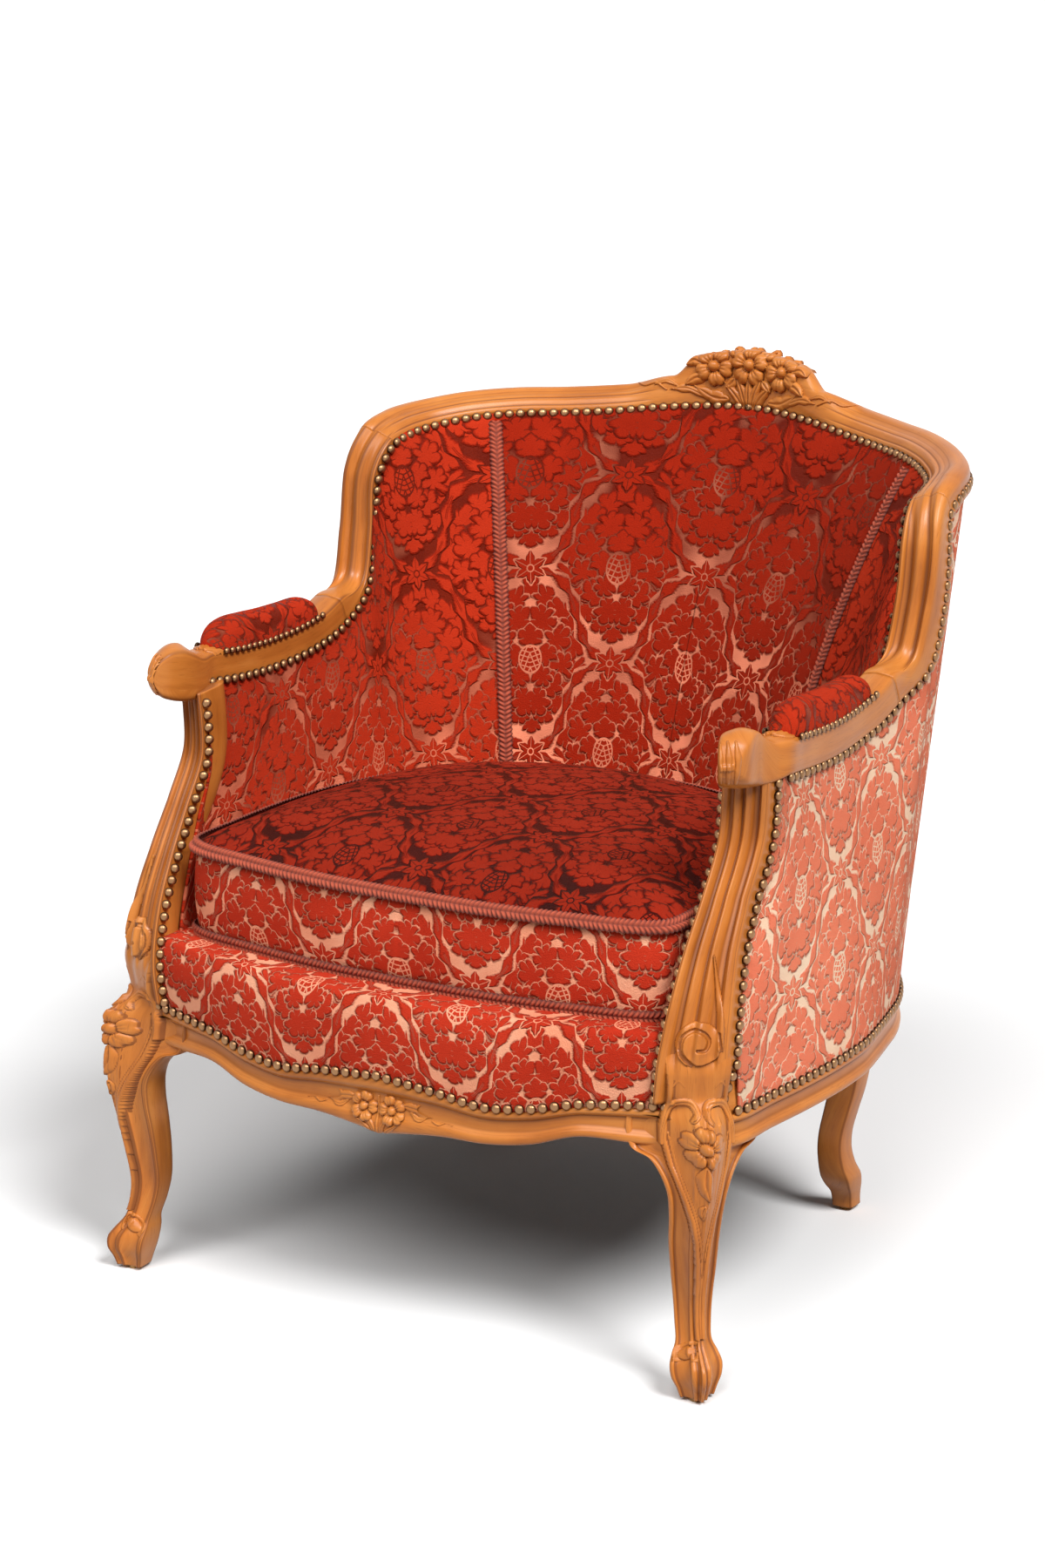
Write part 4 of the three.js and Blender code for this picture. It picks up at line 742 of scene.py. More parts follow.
# Arm supports
SUPPORT_ROWS = [
    (0.788, -0.886, -0.08, 1.3), (0.8, -0.887, 0.066, 1.5), (0.81, -0.845, 0.25, 1.34),
    (0.815, -0.775, 0.425, 1.14), (0.82, -0.69, 0.59, 1), (0.82, -0.605, 0.77, 1), (0.825, -0.595, 0.92, 1),
    (0.83, -0.6, 1.03, 1),
]
SUPPORT_EDGE = [spot(x, y, lerp(RAIL_TOP, ARM_LINE, rise)) for x, y, rise, _ in SUPPORT_ROWS]
SUPPORT_LAST = len(SUPPORT_ROWS) - 1
SUPPORT_OUT = np.array([math.cos(math.radians(SUPPORT_TURN)), math.sin(math.radians(SUPPORT_TURN)), 0])
SUPPORT_SECTION = [
    (0, 0), (0.03, 0.14), (0.08, 0.19), (0.13, 0.13), (0.17, 0.04), (0.23, 0.04), (0.28, 0.14), (0.34, 0.18),
    (0.4, 0.12), (0.45, 0.05), (0.5, 0.12), (0.57, 0.21), (0.64, 0.13), (0.69, 0.04), (0.77, 0.03),
    (0.83, 0.12), (0.89, 0.2), (0.96, 0.15), (1, 0), (1, -0.85), (0.92, -1), (0.06, -1),
]


def support_ring(station):
    along = heading(SUPPORT_EDGE, [station])[0]
    facing = unit(np.array([0, -along[2], along[1]]))
    width = SUPPORT_WIDTH * np.interp(station, range(len(SUPPORT_ROWS)), [row[3] for row in SUPPORT_ROWS])
    place = through(SUPPORT_EDGE, [station])[0]
    return ring_of(place, SUPPORT_OUT, facing, SUPPORT_SECTION, width, SUPPORT_DEPTH)


def make_supports():
    rings = rounded([support_ring(station) for station in np.linspace(0, SUPPORT_LAST - 0.18, 90)], 128)
    return wooden_pair("support", rings, "arm_support")


# Arms with their scrolled ends
SCROLL_ROWS = [
    (0.893, -0.743, 1.034, 1.046, 0.4, 1), (0.888, -0.739, 1.022, 1.058, 0.62, 1),
    (0.878, -0.725, 1.006, 1.077, 0.84, 1), (0.862, -0.695, 0.996, 1.09, 1, 1),
    (0.85, -0.655, 0.99, 1.09, 1.04, 0.9), (0.845, -0.61, 0.988, 1.078, 1, 0.6),
    (0.852, -0.55, 0.988, 1.062, 0.98, 0.3),
]
ARM_SOLE_SHARE = 0.38
ARM_RISE_SHARE = 1.5


def scroll_ring(x, y, sole, top, width, turn):
    height = (top - sole) * ARM_LINE / ARM_RISE_SHARE
    place = spot(x, y, sole * ARM_LINE + ARM_SOLE_SHARE * height)
    swing = math.radians(turn * SCROLL_TURN)
    out = np.array([math.cos(swing), math.sin(swing), 0])
    return ring_of(place, out, np.array([0, 0, 1]), ARM_SECTION, width * ARM_WIDTH, height)


def make_arms():
    coarse = [scroll_ring(*row) for row in SCROLL_ROWS]
    middle = coarse[0].mean(axis=0)
    forward = unit(middle - coarse[2].mean(axis=0))
    nose = [middle + (coarse[0] - middle) * share + forward * reach
            for share, reach in ((0.03, 3.6), (0.45, 3.2), (0.82, 1.8))]
    coarse = nose + coarse + list(frame_rings(0, WING_START, 0.6, 0, FIT_GAP / 2))
    rings = rounded(through(coarse, np.linspace(0, len(coarse) - 1, 110)), 96)
    return wooden_pair("armrest", rings, "arm")


def make_wings():
    rings = rounded(frame_rings(WING_START, WING_END, 0.05, FIT_GAP / 2, FIT_GAP / 2), 128)
    wooden_pair("stile", rings, "wing")


def make_top_rail():
    rings = rounded(frame_rings(WING_END, CREST, 0.035, FIT_GAP / 2), 112)
    return wooden("moulded_top_rail", whole(rings), "top_rail")


# Cabriole legs. Each row: share of the plan, share of the leg's height, share of the knee's width,
# and of the brackets that reach out under the rails
FRONT_LEG = [
    (0.916, -0.874, 0.013, 0.49, 0), (0.916, -0.874, 0.045, 0.58, 0), (0.916, -0.877, 0.085, 0.72, 0),
    (0.912, -0.873, 0.124, 0.75, 0), (0.903, -0.864, 0.157, 0.66, 0), (0.893, -0.854, 0.195, 0.52, 0),
    (0.882, -0.839, 0.255, 0.52, 0), (0.876, -0.829, 0.327, 0.56, 0), (0.88, -0.834, 0.435, 0.65, 0),
    (0.887, -0.844, 0.542, 0.72, 0), (0.897, -0.851, 0.637, 0.77, 0), (0.902, -0.851, 0.71, 0.83, 0.05),
    (0.899, -0.842, 0.77, 0.9, 0.22), (0.896, -0.832, 0.815, 0.95, 0.5), (0.894, -0.826, 0.845, 0.98, 1),
    (0.888, -0.816, NAIL_LINE / LEG_TOP, 1, 1), (0.888, -0.816, NAIL_LINE / LEG_TOP, 0.97, 0),
    (0.873, -0.8, 1, 0.8, 0),
]
BRACKET_SHARE = 0.7
BRACKET_BEAD_SHARE = 0.06
FRONT_LEG_HALF = [
    (-0.44, -0.44, 0), (-0.5, -0.1, 1), (-0.51, 0.33, 1), (-0.47, 0.43, 1), (-0.38, 0.45, 1),
    (-0.33, 0.375, 1), (-0.12, 0.36, 0.5), (0.08, 0.41, 0), (0.15, 0.5, 0), (0.24, 0.5, 0), (0.29, 0.43, 0),
    (0.38, 0.46, 0), (0.46, 0.52, 0),
]
REAR_LEG = [
    (0.595, 0.554, 0, 0.65), (0.595, 0.552, 0.035, 0.66), (0.597, 0.545, 0.075, 0.71),
    (0.597, 0.53, 0.12, 0.86), (0.597, 0.514, 0.17, 0.94), (0.592, 0.5, 0.23, 0.86),
    (0.588, 0.492, 0.31, 0.8), (0.59, 0.494, 0.39, 0.79), (0.6, 0.506, 0.49, 0.82), (0.61, 0.523, 0.6, 0.87),
    (0.618, 0.535, 0.78, 0.95), (0.621, 0.538, 1, 1),
]
BACK_POST = [
    (0.621, 0.543, 0.06, 1), (0.62, 0.563, 0.2, 0.94), (0.632, 0.622, 0.5, 0.86), (0.65, 0.692, 0.78, 0.8),
    (0.665, 0.746, 1, 0.74),
]
REAR_LEG_SECTION = [
    (-0.5, -0.34), (-0.34, -0.5), (0.34, -0.5), (0.5, -0.34), (0.5, 0.34), (0.34, 0.5), (-0.34, 0.5),
    (-0.5, 0.34),
]


def leg_ring(x, y, z, width, section):
    section = np.asarray(section, float) * width
    return spot(x, y, z) + np.stack([section[:, 0], -section[:, 1], np.zeros(len(section))], axis=1)


def front_section(bracket):
    half = [(u - reach * bracket * BRACKET_SHARE, v + bracket * (BRACKET_BEAD_SHARE if i == 3 else 0))
            for i, (u, v, reach) in enumerate(FRONT_LEG_HALF)]
    return half + [(v, u) for u, v in half[:0:-1]]


def make_legs():
    start = GLIDE_HEIGHT + FIT_GAP
    front = [leg_ring(x, y, max(start, z * LEG_TOP), w * KNEE_WIDTH, front_section(bracket))
             for x, y, z, w, bracket in FRONT_LEG]
    rear = [leg_ring(x, y, lerp(start, RAIL_BOTTOM, z), w * REAR_LEG_WIDTH, REAR_LEG_SECTION)
            for x, y, z, w in REAR_LEG]
    rear += [leg_ring(x, y, lerp(RAIL_BOTTOM, SHOULDER_LINE, z), w * REAR_LEG_WIDTH, REAR_LEG_SECTION)
             for x, y, z, w in BACK_POST]
    last = len(front) - 1
    stations = np.concatenate([np.linspace(0, last - 2, 110), [last - 1, last]])
    made = wooden_pair("cabriole", rounded(through(front, stations), 120), "front_leg")
    wooden_pair("back_leg", rounded(through(rear, np.linspace(0, len(rear) - 1, 100)), 48), "rear_leg")
    return made


# Seat rails: a moulded face under the nails, and an apron whose underside rises and falls
APRON = [-0.28, -0.1, -0.08, 0.06, 0.36, 0.3, 0.28]
NAIL_DIP = [290, 284, 277, 282, 293, 297, 297]
BARE_FACE = NAIL_LINE - RAIL_BOTTOM
SIDE_BOTTOM = RAIL_BOTTOM + 0.32 * BARE_FACE
RAIL_PROFILE = [
    (RAIL_REBATE, 0.0), (-0.5, 0.0), (-2.0, 0.05), (-2.2, 0.13), (-0.4, 0.2), (2.2, 0.27), (3.0, 0.42),
    (2.4, 0.58), (0.2, 0.68), (-1.8, 0.76), (-2.4, 0.85), (-1.4, 0.95), (2.0, 1.0), (10.0, 1.0), (22.0, 1.0),
]
FACE_POINTS = 14
INNER_BOTTOM = 266
FRONT_END = 6
SIDE_START, SIDE_END = 6.4, 18.3
BACK_START = 18.5


def read(values, stations):
    rows = np.stack([np.arange(len(values)), values, np.zeros(len(values))], axis=1)
    return through(rows, np.clip(stations, 0, len(values) - 1))[:, 1]


def rail_rings(stations, top, bottom):
    rings = [plan_points(stations, inset, lerp(top, bottom, drop)) for inset, drop in RAIL_PROFILE]
    inner = ((RAIL_THICKNESS / 2, INNER_BOTTOM), (RAIL_THICKNESS, INNER_BOTTOM), (RAIL_THICKNESS, RAIL_TOP),
             (RAIL_REBATE, RAIL_TOP))
    rings = np.stack(rings + [plan_points(stations, inset, z) for inset, z in inner], axis=1)
    face = through(np.moveaxis(rings[:, :FACE_POINTS], 1, 0), np.linspace(0, FACE_POINTS - 1, 60))
    return np.concatenate([np.moveaxis(face, 0, 1), rings[:, FACE_POINTS:]], axis=1)


def make_rails():
    stations = np.linspace(0, FRONT_END, 120)
    front = rail_rings(stations, read(NAIL_DIP, stations), RAIL_BOTTOM + BARE_FACE * read(APRON, stations))
    apron = wooden("apron", widened(front), "front_rail")
    stations = np.linspace(SIDE_START, SIDE_END, 150)
    sweep = smoothstep(stations, SIDE_START, 8)
    bracket_bottom = RAIL_BOTTOM + BARE_FACE * APRON[-1]
    side = rail_rings(stations, np.full(len(stations), NAIL_LINE), lerp(bracket_bottom, SIDE_BOTTOM, sweep))
    sides = wooden_pair("side_frame", side, "side_rail")
    stations = np.linspace(BACK_START, PLAN_LAST, 40)
    back = rail_rings(stations, np.full(len(stations), NAIL_LINE), np.full(len(stations), SIDE_BOTTOM))
    wooden("back_frame", whole(back), "rear_rail")
    return apron, sides[0]


# Plan of the seat between the inside covers
SEAT_PLAN = [spot(x, y, 0) for x, y in (
    (0, -0.955), (0.25, -0.948), (0.5, -0.912), (0.72, -0.86), (0.782, -0.8), (0.792, -0.6), (0.79, -0.35),
    (0.765, -0.13), (0.72, 0.03), (0.63, 0.19), (0.5, 0.305), (0.34, 0.385), (0.17, 0.436), (0, 0.452),
)]
SEAT_LAST = len(SEAT_PLAN) - 1
SEAT_MIDDLE = spot(0, -0.25, 0)


def seat_outline(inset, step=6):
    half = through(SEAT_PLAN, np.linspace(0, SEAT_LAST, 200))
    loop = spaced(looped(half), step, closed=True)
    for _ in range(3):
        loop = (np.roll(loop, 1, axis=0) + loop * 2 + np.roll(loop, -1, axis=0)) / 4
    before, after = np.roll(loop, 1, axis=0), np.roll(loop, -1, axis=0)
    return loop - outward_of(after - before) * inset


# Inside covers with their stuffing, from the seat up to the show-wood
SWAY_FOOT = through(SUPPORT_EDGE, [1])[0]
SWAY_HEAD = through(SUPPORT_EDGE, [SUPPORT_LAST - 1])[0]
INSIDE_SIDE_ROWS = [
    (4, None, 0.2, 1), (4.6, 0.1, 0.5, 0.7), (5.3, 1.1, 0.8, 0.4), (6.1, 2.3, 1, 0.15), (7, 3.7, 1.1, 0),
    (7.9, 5, 1.4, 0), (8.7, 6.6, 2, 0), (9.3, 8.4, 2.6, 0), (9.9, 10, 3.4, 0), (10.45, 11.5, 36 / 7, 0),
]
INSIDE_BACK_ROWS = [(10.45, 11.5), (11, 12.6), (11.6, 13.8), (12.1, 14.8), (12.6, 15.9), (13, CREST)]


def column(foot, head, inward, swell, sway, shares):
    bent = through(SUPPORT_EDGE, lerp(1, SUPPORT_LAST - 1, shares))
    straight = lerp(SWAY_FOOT, SWAY_HEAD, shares[:, None])
    drift = (bent - straight) * (1, 1, 0)
    bulge = swell * np.sin(shares * math.pi)[:, None] ** 0.7
    return lerp(foot, head, shares[:, None]) + inward * bulge + drift * sway


def inside_column(seat, station, swell, sway, shares):
    foot = through(SEAT_PLAN, [seat])[0] + (0, 0, RAIL_TOP)
    across = outward_of(heading(SEAT_PLAN, [seat]))[0]
    head, head_out = SWAY_HEAD, np.array([1, 0, 0])
    if station is not None:
        place, _, out, _ = frame_at([station])
        head, head_out = place[0], out[0]
    return column(foot, head, -unit(across + head_out), swell, sway, shares)


LEVELS = np.linspace(0, 1, 60)


def cover_uv(points, start=0.0):
    widths = arc(points, 0)[:, points.shape[1] // 2]
    heights = points[:, :, 2]
    return np.stack([np.repeat(widths[:, None] + start, points.shape[1], 1), heights], axis=-1) / 1000


def middle_uv(points):
    uv = cover_uv(points)
    uv[..., 0] -= uv[..., 0].max() / 2
    return uv


# A side's cover from its columns, and a back's cover from those on the right, the last in the middle
def side_cover(columns):
    return through(columns, np.linspace(0, len(columns) - 1, 90))


def back_cover(columns):
    return whole(through(columns + [mirror(columns[-2])], np.linspace(0, len(columns) - 1, 60)))


def make_inside_covers():
    back = back_cover([inside_column(seat, station, BACK_SWELL, 0, LEVELS)
                       for seat, station in INSIDE_BACK_ROWS])
    piece = cover("back_upholstery", back, velvet_painted_light_and_shade_back, "inside_back", (0, -1, 0), middle_uv(back))
    side = side_cover([inside_column(seat, station, swell * ARM_SWELL, sway, LEVELS)
                       for seat, station, swell, sway in INSIDE_SIDE_ROWS])[::-1]
    uv = cover_uv(side, 0.5 * REPEAT_WIDTH)
    for (name, turned), way in zip(SIDES, (-1, 1)):
        piece = cover(f"arm_upholstery_{name}", turned(side), velvet_painted_light_and_shade_arm, f"inside_arm_{name}", (way, 0, 0),
                      uv)
    return back


# Outside covers, nailed under the show-wood and over the rails' moulding
OUTSIDE_SIDE_ROWS = [
    (7.7, 0, 0.95), (8.3, 0.6, 0.7), (9, 1.3, 0.4), (10, 2.3, 0.2), (11, 3.3, 0), (12, 4.4, 0), (13, 5.6, 0),
    (14, 7, 0), (14.5, 7.8, 0), (15, 8.6, 0), (16, 10, 0), (17, 11.3, 0),
]
OUTSIDE_BACK_ROWS = [(17, 11.3), (18.2, 12.4), (19.2, 13.4), (20.2, 14.5), (21.1, 15.7), (PLAN_LAST, CREST)]
TUCK_SHARE = 0.9
TUCK_DEPTH_SHARE = 0.6
OUTER_CORNER = 13
BACK_CORNER = 14


def outside_column(rail, station, sway, shares):
    foot = plan_points([rail], FIT_GAP, NAIL_LINE)[0]
    place, _, outs, facing = frame_at([station])
    section, width, height = section_at(station)
    out = outs[0]
    head = place[0] + out * TUCK_SHARE * section[OUTER_CORNER][0] * width
    head = head + facing[0] * TUCK_DEPTH_SHARE * section[BACK_CORNER][1] * height
    return column(foot, head, out, 0, sway, shares)


# A line on the outer side of the arm support, a share of the way across it and a gap off its cover
def outer_side(rings, share, gap):
    return lerp(rings[:, -4], rings[:, -3], share) + SUPPORT_OUT * (COVER + gap)


# The cover's front edge lies on the outer side of the arm support
def outside_front_column(shares):
    foot = plan_points([7], FIT_GAP, NAIL_LINE)
    rings = np.array([support_ring(share * 0.93 * SUPPORT_LAST) for share in (0.2, 0.45, 0.72, 1)])
    marks = np.concatenate([foot, outer_side(rings, 0.35, FIT_GAP)])
    return through(marks, shares * (len(marks) - 1))


def make_outside_covers():
    back = back_cover([outside_column(rail, station, 0, LEVELS) for rail, station in OUTSIDE_BACK_ROWS])
    piece = cover("back_panel", back, velvet_painted_lit_outside, "outside_back", (0, 1, 0), middle_uv(back))
    columns = [outside_column(rail, station, sway, LEVELS) for rail, station, sway in OUTSIDE_SIDE_ROWS]
    side = side_cover([outside_front_column(LEVELS)] + columns)
    for (name, turned), way in zip(SIDES, (1, -1)):
        piece = cover(f"arm_panel_{name}", turned(side), velvet_painted_lit_outside, f"outside_arm_{name}", (way, 0, 0),
                      cover_uv(side))


# Front band of the seat, from the nails up over the stuffed edge
BAND_PROFILE = [
    (0.01, 0), (-0.03, 0.2), (-0.07, 0.5), (-0.06, 0.75), (0, 0.9), (0.09, 1.0), (0.2, 1.02), (0.5, 1.02),
    (1.4, 1.02),
]


def make_seat():
    stations = np.linspace(0, 5.45, 90)
    bottom = read(NAIL_DIP, stations)
    top = DECK_LEVEL + COVER
    rows = [plan_points(stations, inset * RAIL_THICKNESS, lerp(bottom, top, rise))
            for inset, rise in BAND_PROFILE]
    band = widened(np.moveaxis(through(rows, np.linspace(0, len(rows) - 1, 30)), 0, 1))
    uv = np.stack([arc(band, 0), arc(band, 1)], axis=-1) / 1000
    uv[..., 0] = uv[:, :1, 0] - uv[:, :1, 0].max() / 2
    piece = cover("seat_band", band, velvet_painted_lit_front, "front_band", (0, -1, 0), uv)
    outline = seat_outline(FIT_GAP)
    deck = [outline + (0, 0, RAIL_TOP + 1)]
    for share in (1, 0.97, 0.9, 0.75, 0.5, 0.25, 0.02):
        deck.append(lerp(SEAT_MIDDLE, outline, share) + (0, 0, DECK_LEVEL + COVER * (1 - share ** 4)))
    piece = skin("seat_deck", deck, "chair", linen, ["deck_cover", "seat_pad"], closed=True,
                 capped=True)


# Arm pads
PAD_ROWS = [
    (0.2, 0.3, 0.45), (0.3, 0.62, 0.75), (0.45, 0.82, 0.92), (0.8, 0.98, 1.02), (1.4, 1, 1.04),
    (2, 0.95, 1.02), (2.6, 0.88, 1), (3.15, 0.75, 0.92), (3.35, 0.55, 0.78), (3.48, 0.3, 0.5),
]
PAD_SECTION = [
    (0, 0), (-0.02, 0.3), (0.04, 0.62), (0.18, 0.88), (0.38, 0.99), (0.62, 0.99), (0.82, 0.88), (0.96, 0.62),
    (1.02, 0.3), (1, 0), (0.66, -0.03), (0.33, -0.03),
]


def make_arm_pads():
    rings = []
    for station, height, width in PAD_ROWS:
        place, _, out, facing = frame_at([station])
        start = place[0] + out[0] * ARM_WIDTH * (1 - width) / 2 + facing[0] * (FACE_HEIGHT + 1)
        rings.append(ring_of(start, out[0], facing[0], PAD_SECTION, ARM_WIDTH * width, PAD_HEIGHT * height))
    rings = rounded(through(rings, np.linspace(0, len(rings) - 1, 60)), 56)
    for name, turned in SIDES:
        piece = skin(f"pad_{name}", turned(rings), "chair", velvet_painted_light_and_shade_arm, [f"arm_pad_{name}"],
                     closed=True, capped=True)


# Loose cushion, boxed, with its crown
CUSHION_BOTTOM = DECK_LEVEL + FIT_GAP + COVER + CUSHION_LAY
CUSHION_SEAM = CUSHION_BOTTOM + CUSHION_HEIGHT
CUSHION_FRONT_SHARE = 0.955
CUSHION_INSET = 5
CUSHION_BOW = 4.5
CROWN = [
    (0.97, 0.2), (0.94, 0.34), (0.88, 0.5), (0.8, 0.66), (0.64, 0.84), (0.42, 0.95), (0.2, 0.99), (0.03, 1),
]
STEEP = 0.6
VOXEL = 0.0065
PUFF_LIMIT = 0.012
PUFF_PRESSURE = 4.0
PUFF_STEPS = 20
SEAM_WIDTH, SEAM_HEIGHT = 9, 7


def cushion_outline(inset, step=6):
    loop = seat_outline(CUSHION_GAP + inset, step)
    loop[:, 1] = np.where(loop[:, 1] < 0, loop[:, 1] * CUSHION_FRONT_SHARE, loop[:, 1])
    return loop


def cushion_rings():
    flat = cushion_outline(CUSHION_INSET)
    rings = [lerp(SEAT_MIDDLE, flat, share) + (0, 0, CUSHION_BOTTOM + 0.5)
             for share in (0.03, 0.3, 0.6, 0.85, 0.97)]
    for rise in np.linspace(0, 1, 9):
        bow = CUSHION_BOW - CUSHION_BOW * math.sin(rise * math.pi)
        rings.append(cushion_outline(bow) + (0, 0, lerp(CUSHION_BOTTOM + 1.5, CUSHION_SEAM, rise)))
    for share, rise in CROWN:
        rings.append(lerp(SEAT_MIDDLE, flat, share) + (0, 0, CUSHION_SEAM + rise * CUSHION_CROWN * 0.9))
    return np.array(rings)


# The damask runs flat over the top and round the side of the cushion
def cushion_marks(mesh):
    def taken(items, name, kind, width=1):
        values = np.empty(len(items) * width, kind)
        items.foreach_get(name, values)
        return values.reshape(-1, width) if width > 1 else values

    places = taken(mesh.vertices, "co", float, 3) * 1000 - (0, DATUM_Y, 0)
    corners = taken(mesh.loops, "vertex_index", int)
    rises = np.abs(taken(mesh.polygons, "normal", float, 3)[:, 2])
    steep = np.repeat(rises < STEEP, taken(mesh.polygons, "loop_total", int))
    outline = cushion_outline(2, 4)
    lengths = np.concatenate([[0], np.cumsum(np.linalg.norm(np.diff(outline, axis=0), axis=1))])
    bearing, found = (np.arctan2(line[:, 0] - SEAT_MIDDLE[0], SEAT_MIDDLE[1] - line[:, 1])
                      for line in (outline, places))
    order = np.argsort(bearing)
    signed = np.where(lengths > lengths[-1] / 2, lengths - lengths[-1], lengths)
    around = np.interp(found, bearing[order], signed[order])
    side = np.stack([around[corners], places[corners][:, 2]], axis=1)
    marks = np.where(steep[:, None], side, places[corners][:, :2]) / 1000
    mesh.uv_layers.new(name="cloth").data.foreach_set("uv", marks.reshape(-1))


def make_cushion():
    solids = ["cushion_core", "cushion_top", "cushion_boxing", "cushion_bottom"]
    piece = skin("cushion", cushion_rings(), "cushion", velvet_painted_shade_top, solids, closed=True,
                 capped=True)
    puff_up(piece)
    mesh = piece.data
    while mesh.uv_layers:
        mesh.uv_layers.remove(mesh.uv_layers[0])
    cushion_marks(mesh)
    # the cushion's steep sides take the velvet painted as lit, its top and bottom the velvet painted in shade
    mesh.materials.append(velvet_painted_lit_front)
    for face in mesh.polygons:
        face.material_index = int(abs(face.normal.z) < STEEP)
        face.use_smooth = True


# The cushion swells as cloth that is held at its seams and underneath
def puff_up(piece):
    bpy.context.view_layer.objects.active = piece
    remesh = piece.modifiers.new("even_faces", "REMESH")
    remesh.mode = "VOXEL"
    remesh.voxel_size = VOXEL
    bpy.ops.object.modifier_apply(modifier=remesh.name)
    mesh = piece.data
    start = np.array([vertex.co for vertex in mesh.vertices])
    flat = start * 1000 - (0, DATUM_Y, 0)
    outline = cushion_outline(4, 3)
    near = np.array([np.min(np.linalg.norm(outline[:, :2] - place[:2], axis=1))
                     for place in flat]) < SEAM_WIDTH
    held = flat[:, 2] < CUSHION_BOTTOM + 4
    for level in (CUSHION_SEAM, CUSHION_BOTTOM):
        held |= near & (abs(flat[:, 2] - level) < SEAM_HEIGHT)
    seams = piece.vertex_groups.new(name="seams")
    seams.add([int(index) for index in np.nonzero(held)[0]], 1.0, "REPLACE")
    cloth = piece.modifiers.new("cloth", "CLOTH")
    cloth.settings.quality = 5
    cloth.settings.use_pressure = True
    cloth.settings.uniform_pressure_force = PUFF_PRESSURE
    cloth.settings.effector_weights.gravity = 0
    cloth.settings.vertex_group_mass = "seams"
    for number in range(1, PUFF_STEPS + 1):
        bpy.context.scene.frame_set(number)
    bpy.ops.object.modifier_apply(modifier=cloth.name)
    bpy.context.scene.frame_set(1)
    moved = np.array([vertex.co for vertex in mesh.vertices]) - start
    length = np.linalg.norm(moved, axis=1, keepdims=True)
    kept = start + moved * np.minimum(1, PUFF_LIMIT / np.maximum(length, 1e-9))
    mesh.vertices.foreach_set("co", kept.reshape(-1))
    finer = piece.modifiers.new("finer", "SUBSURF")
    finer.levels = 1
    finer.render_levels = 1
    bpy.ops.object.modifier_apply(modifier=finer.name)


# Plaited braid along a line of points, two rows of slanting loops, facing out along the given directions
def braid(name, line, facing, across, body, replaced, closed):
    lengths = np.concatenate([[0], np.cumsum(np.linalg.norm(np.diff(line, axis=0), axis=1))])[:, None]
    reach = np.linspace(-1, 1, 17)[None]
    turn = 2 * math.pi * (lengths / BRAID_LOOP - np.abs(reach) * 0.85)
    loop = np.sqrt(0.5 + 0.5 * np.sin(turn + 0.6 * np.sin(lengths * 0.23)))
    row = np.abs(np.sin(math.pi * np.clip(np.abs(reach), 0, 1) ** 0.85))
    rise = BRAID_THICKNESS * (0.3 * (1 - reach ** 6) + 0.75 * loop * (0.25 + 0.75 * row)) - 0.3
    wide = reach * BRAID_WIDTH / 2 * (1 + 0.1 * np.sin(turn))
    points = line[:, None] + across[:, None] * wide[..., None] + facing[:, None] * rise[..., None]
    # how deep each point lies between the loops, which the braid's material darkens as painted shade
    hollow = np.clip(0.5 - rise / BRAID_THICKNESS, -0.5, 0.5)
    if closed:
        points, hollow = (np.concatenate([rows, rows[:1]]) for rows in (points, hollow))
    return skin(name, points, body, gimp, replaced, hollow=hollow)


def make_cushion_braids():
    for name, seam, tilt in (("top", CUSHION_SEAM + 1.5, 0.75), ("bottom", CUSHION_BOTTOM + 4, -0.25)):
        outline = cushion_outline(2.5, 0.9)
        along = np.roll(outline, -1, axis=0) - np.roll(outline, 1, axis=0)
        facing = unit(outward_of(along) + (0, 0, tilt))
        across = np.cross(unit(along), facing)
        braid(f"braid_{name}", outline + (0, 0, seam), facing, across, "cushion",
              [f"cushion_{name}_braid"], True)


def make_back_braids(back):
    edge = spaced(back[0][2:-1], 0.9)
    beside = spaced(back[3][2:-1], 0.9)[:len(edge)]
    edge = edge[:len(beside)]
    toward = unit(beside - edge)
    along = unit(np.gradient(edge, axis=0))
    facing = unit(np.cross(toward, along))
    if facing[0][1] > 0:
        facing = -facing
    across = unit(np.cross(along, facing))
    for name, turned in SIDES:
        braid(f"seam_braid_{name}", turned(edge + facing * 0.6), turned(facing), turned(across), "chair",
              [f"back_braid_{name}"], False)


# Carving: flowers, leaves and scrolls drawn as heights over a fine grid that is laid on the wood
NOTHING = -9.0
SUNK = -0.9


def flower(u, v, x, y, radius, rise=4.5, petals=5, turn=0.0):
    across, up = u - x, v - y
    away = np.hypot(across, up)
    swing = np.arctan2(across, up) + turn
    lobe = np.abs(np.cos(swing * petals / 2))
    rim = radius * (0.66 + 0.36 * lobe ** 0.5 - 0.1 * lobe ** 24)
    share = np.clip(away / rim, 0, 1)
    dish = rise * (0.4 + 0.6 * np.sin(math.pi * 0.9 * share ** 1.4))
    crease = np.exp(-((away * lobe * 2 / petals) / 1.1) ** 2)
    ribs = np.cos(swing * petals * 4) * np.sin(math.pi * share)
    button = radius * 0.28
    ring = np.exp(-((away - button * 1.2) / 1.1) ** 2)
    body = dish - crease * rise * 0.5 + ribs * 0.35 - ring * 1.4
    dome = rise * 0.6 + np.sqrt(np.maximum(button ** 2 - away ** 2, 0))
    return np.where(away < button, dome, np.where(away < rim, body, NOTHING))


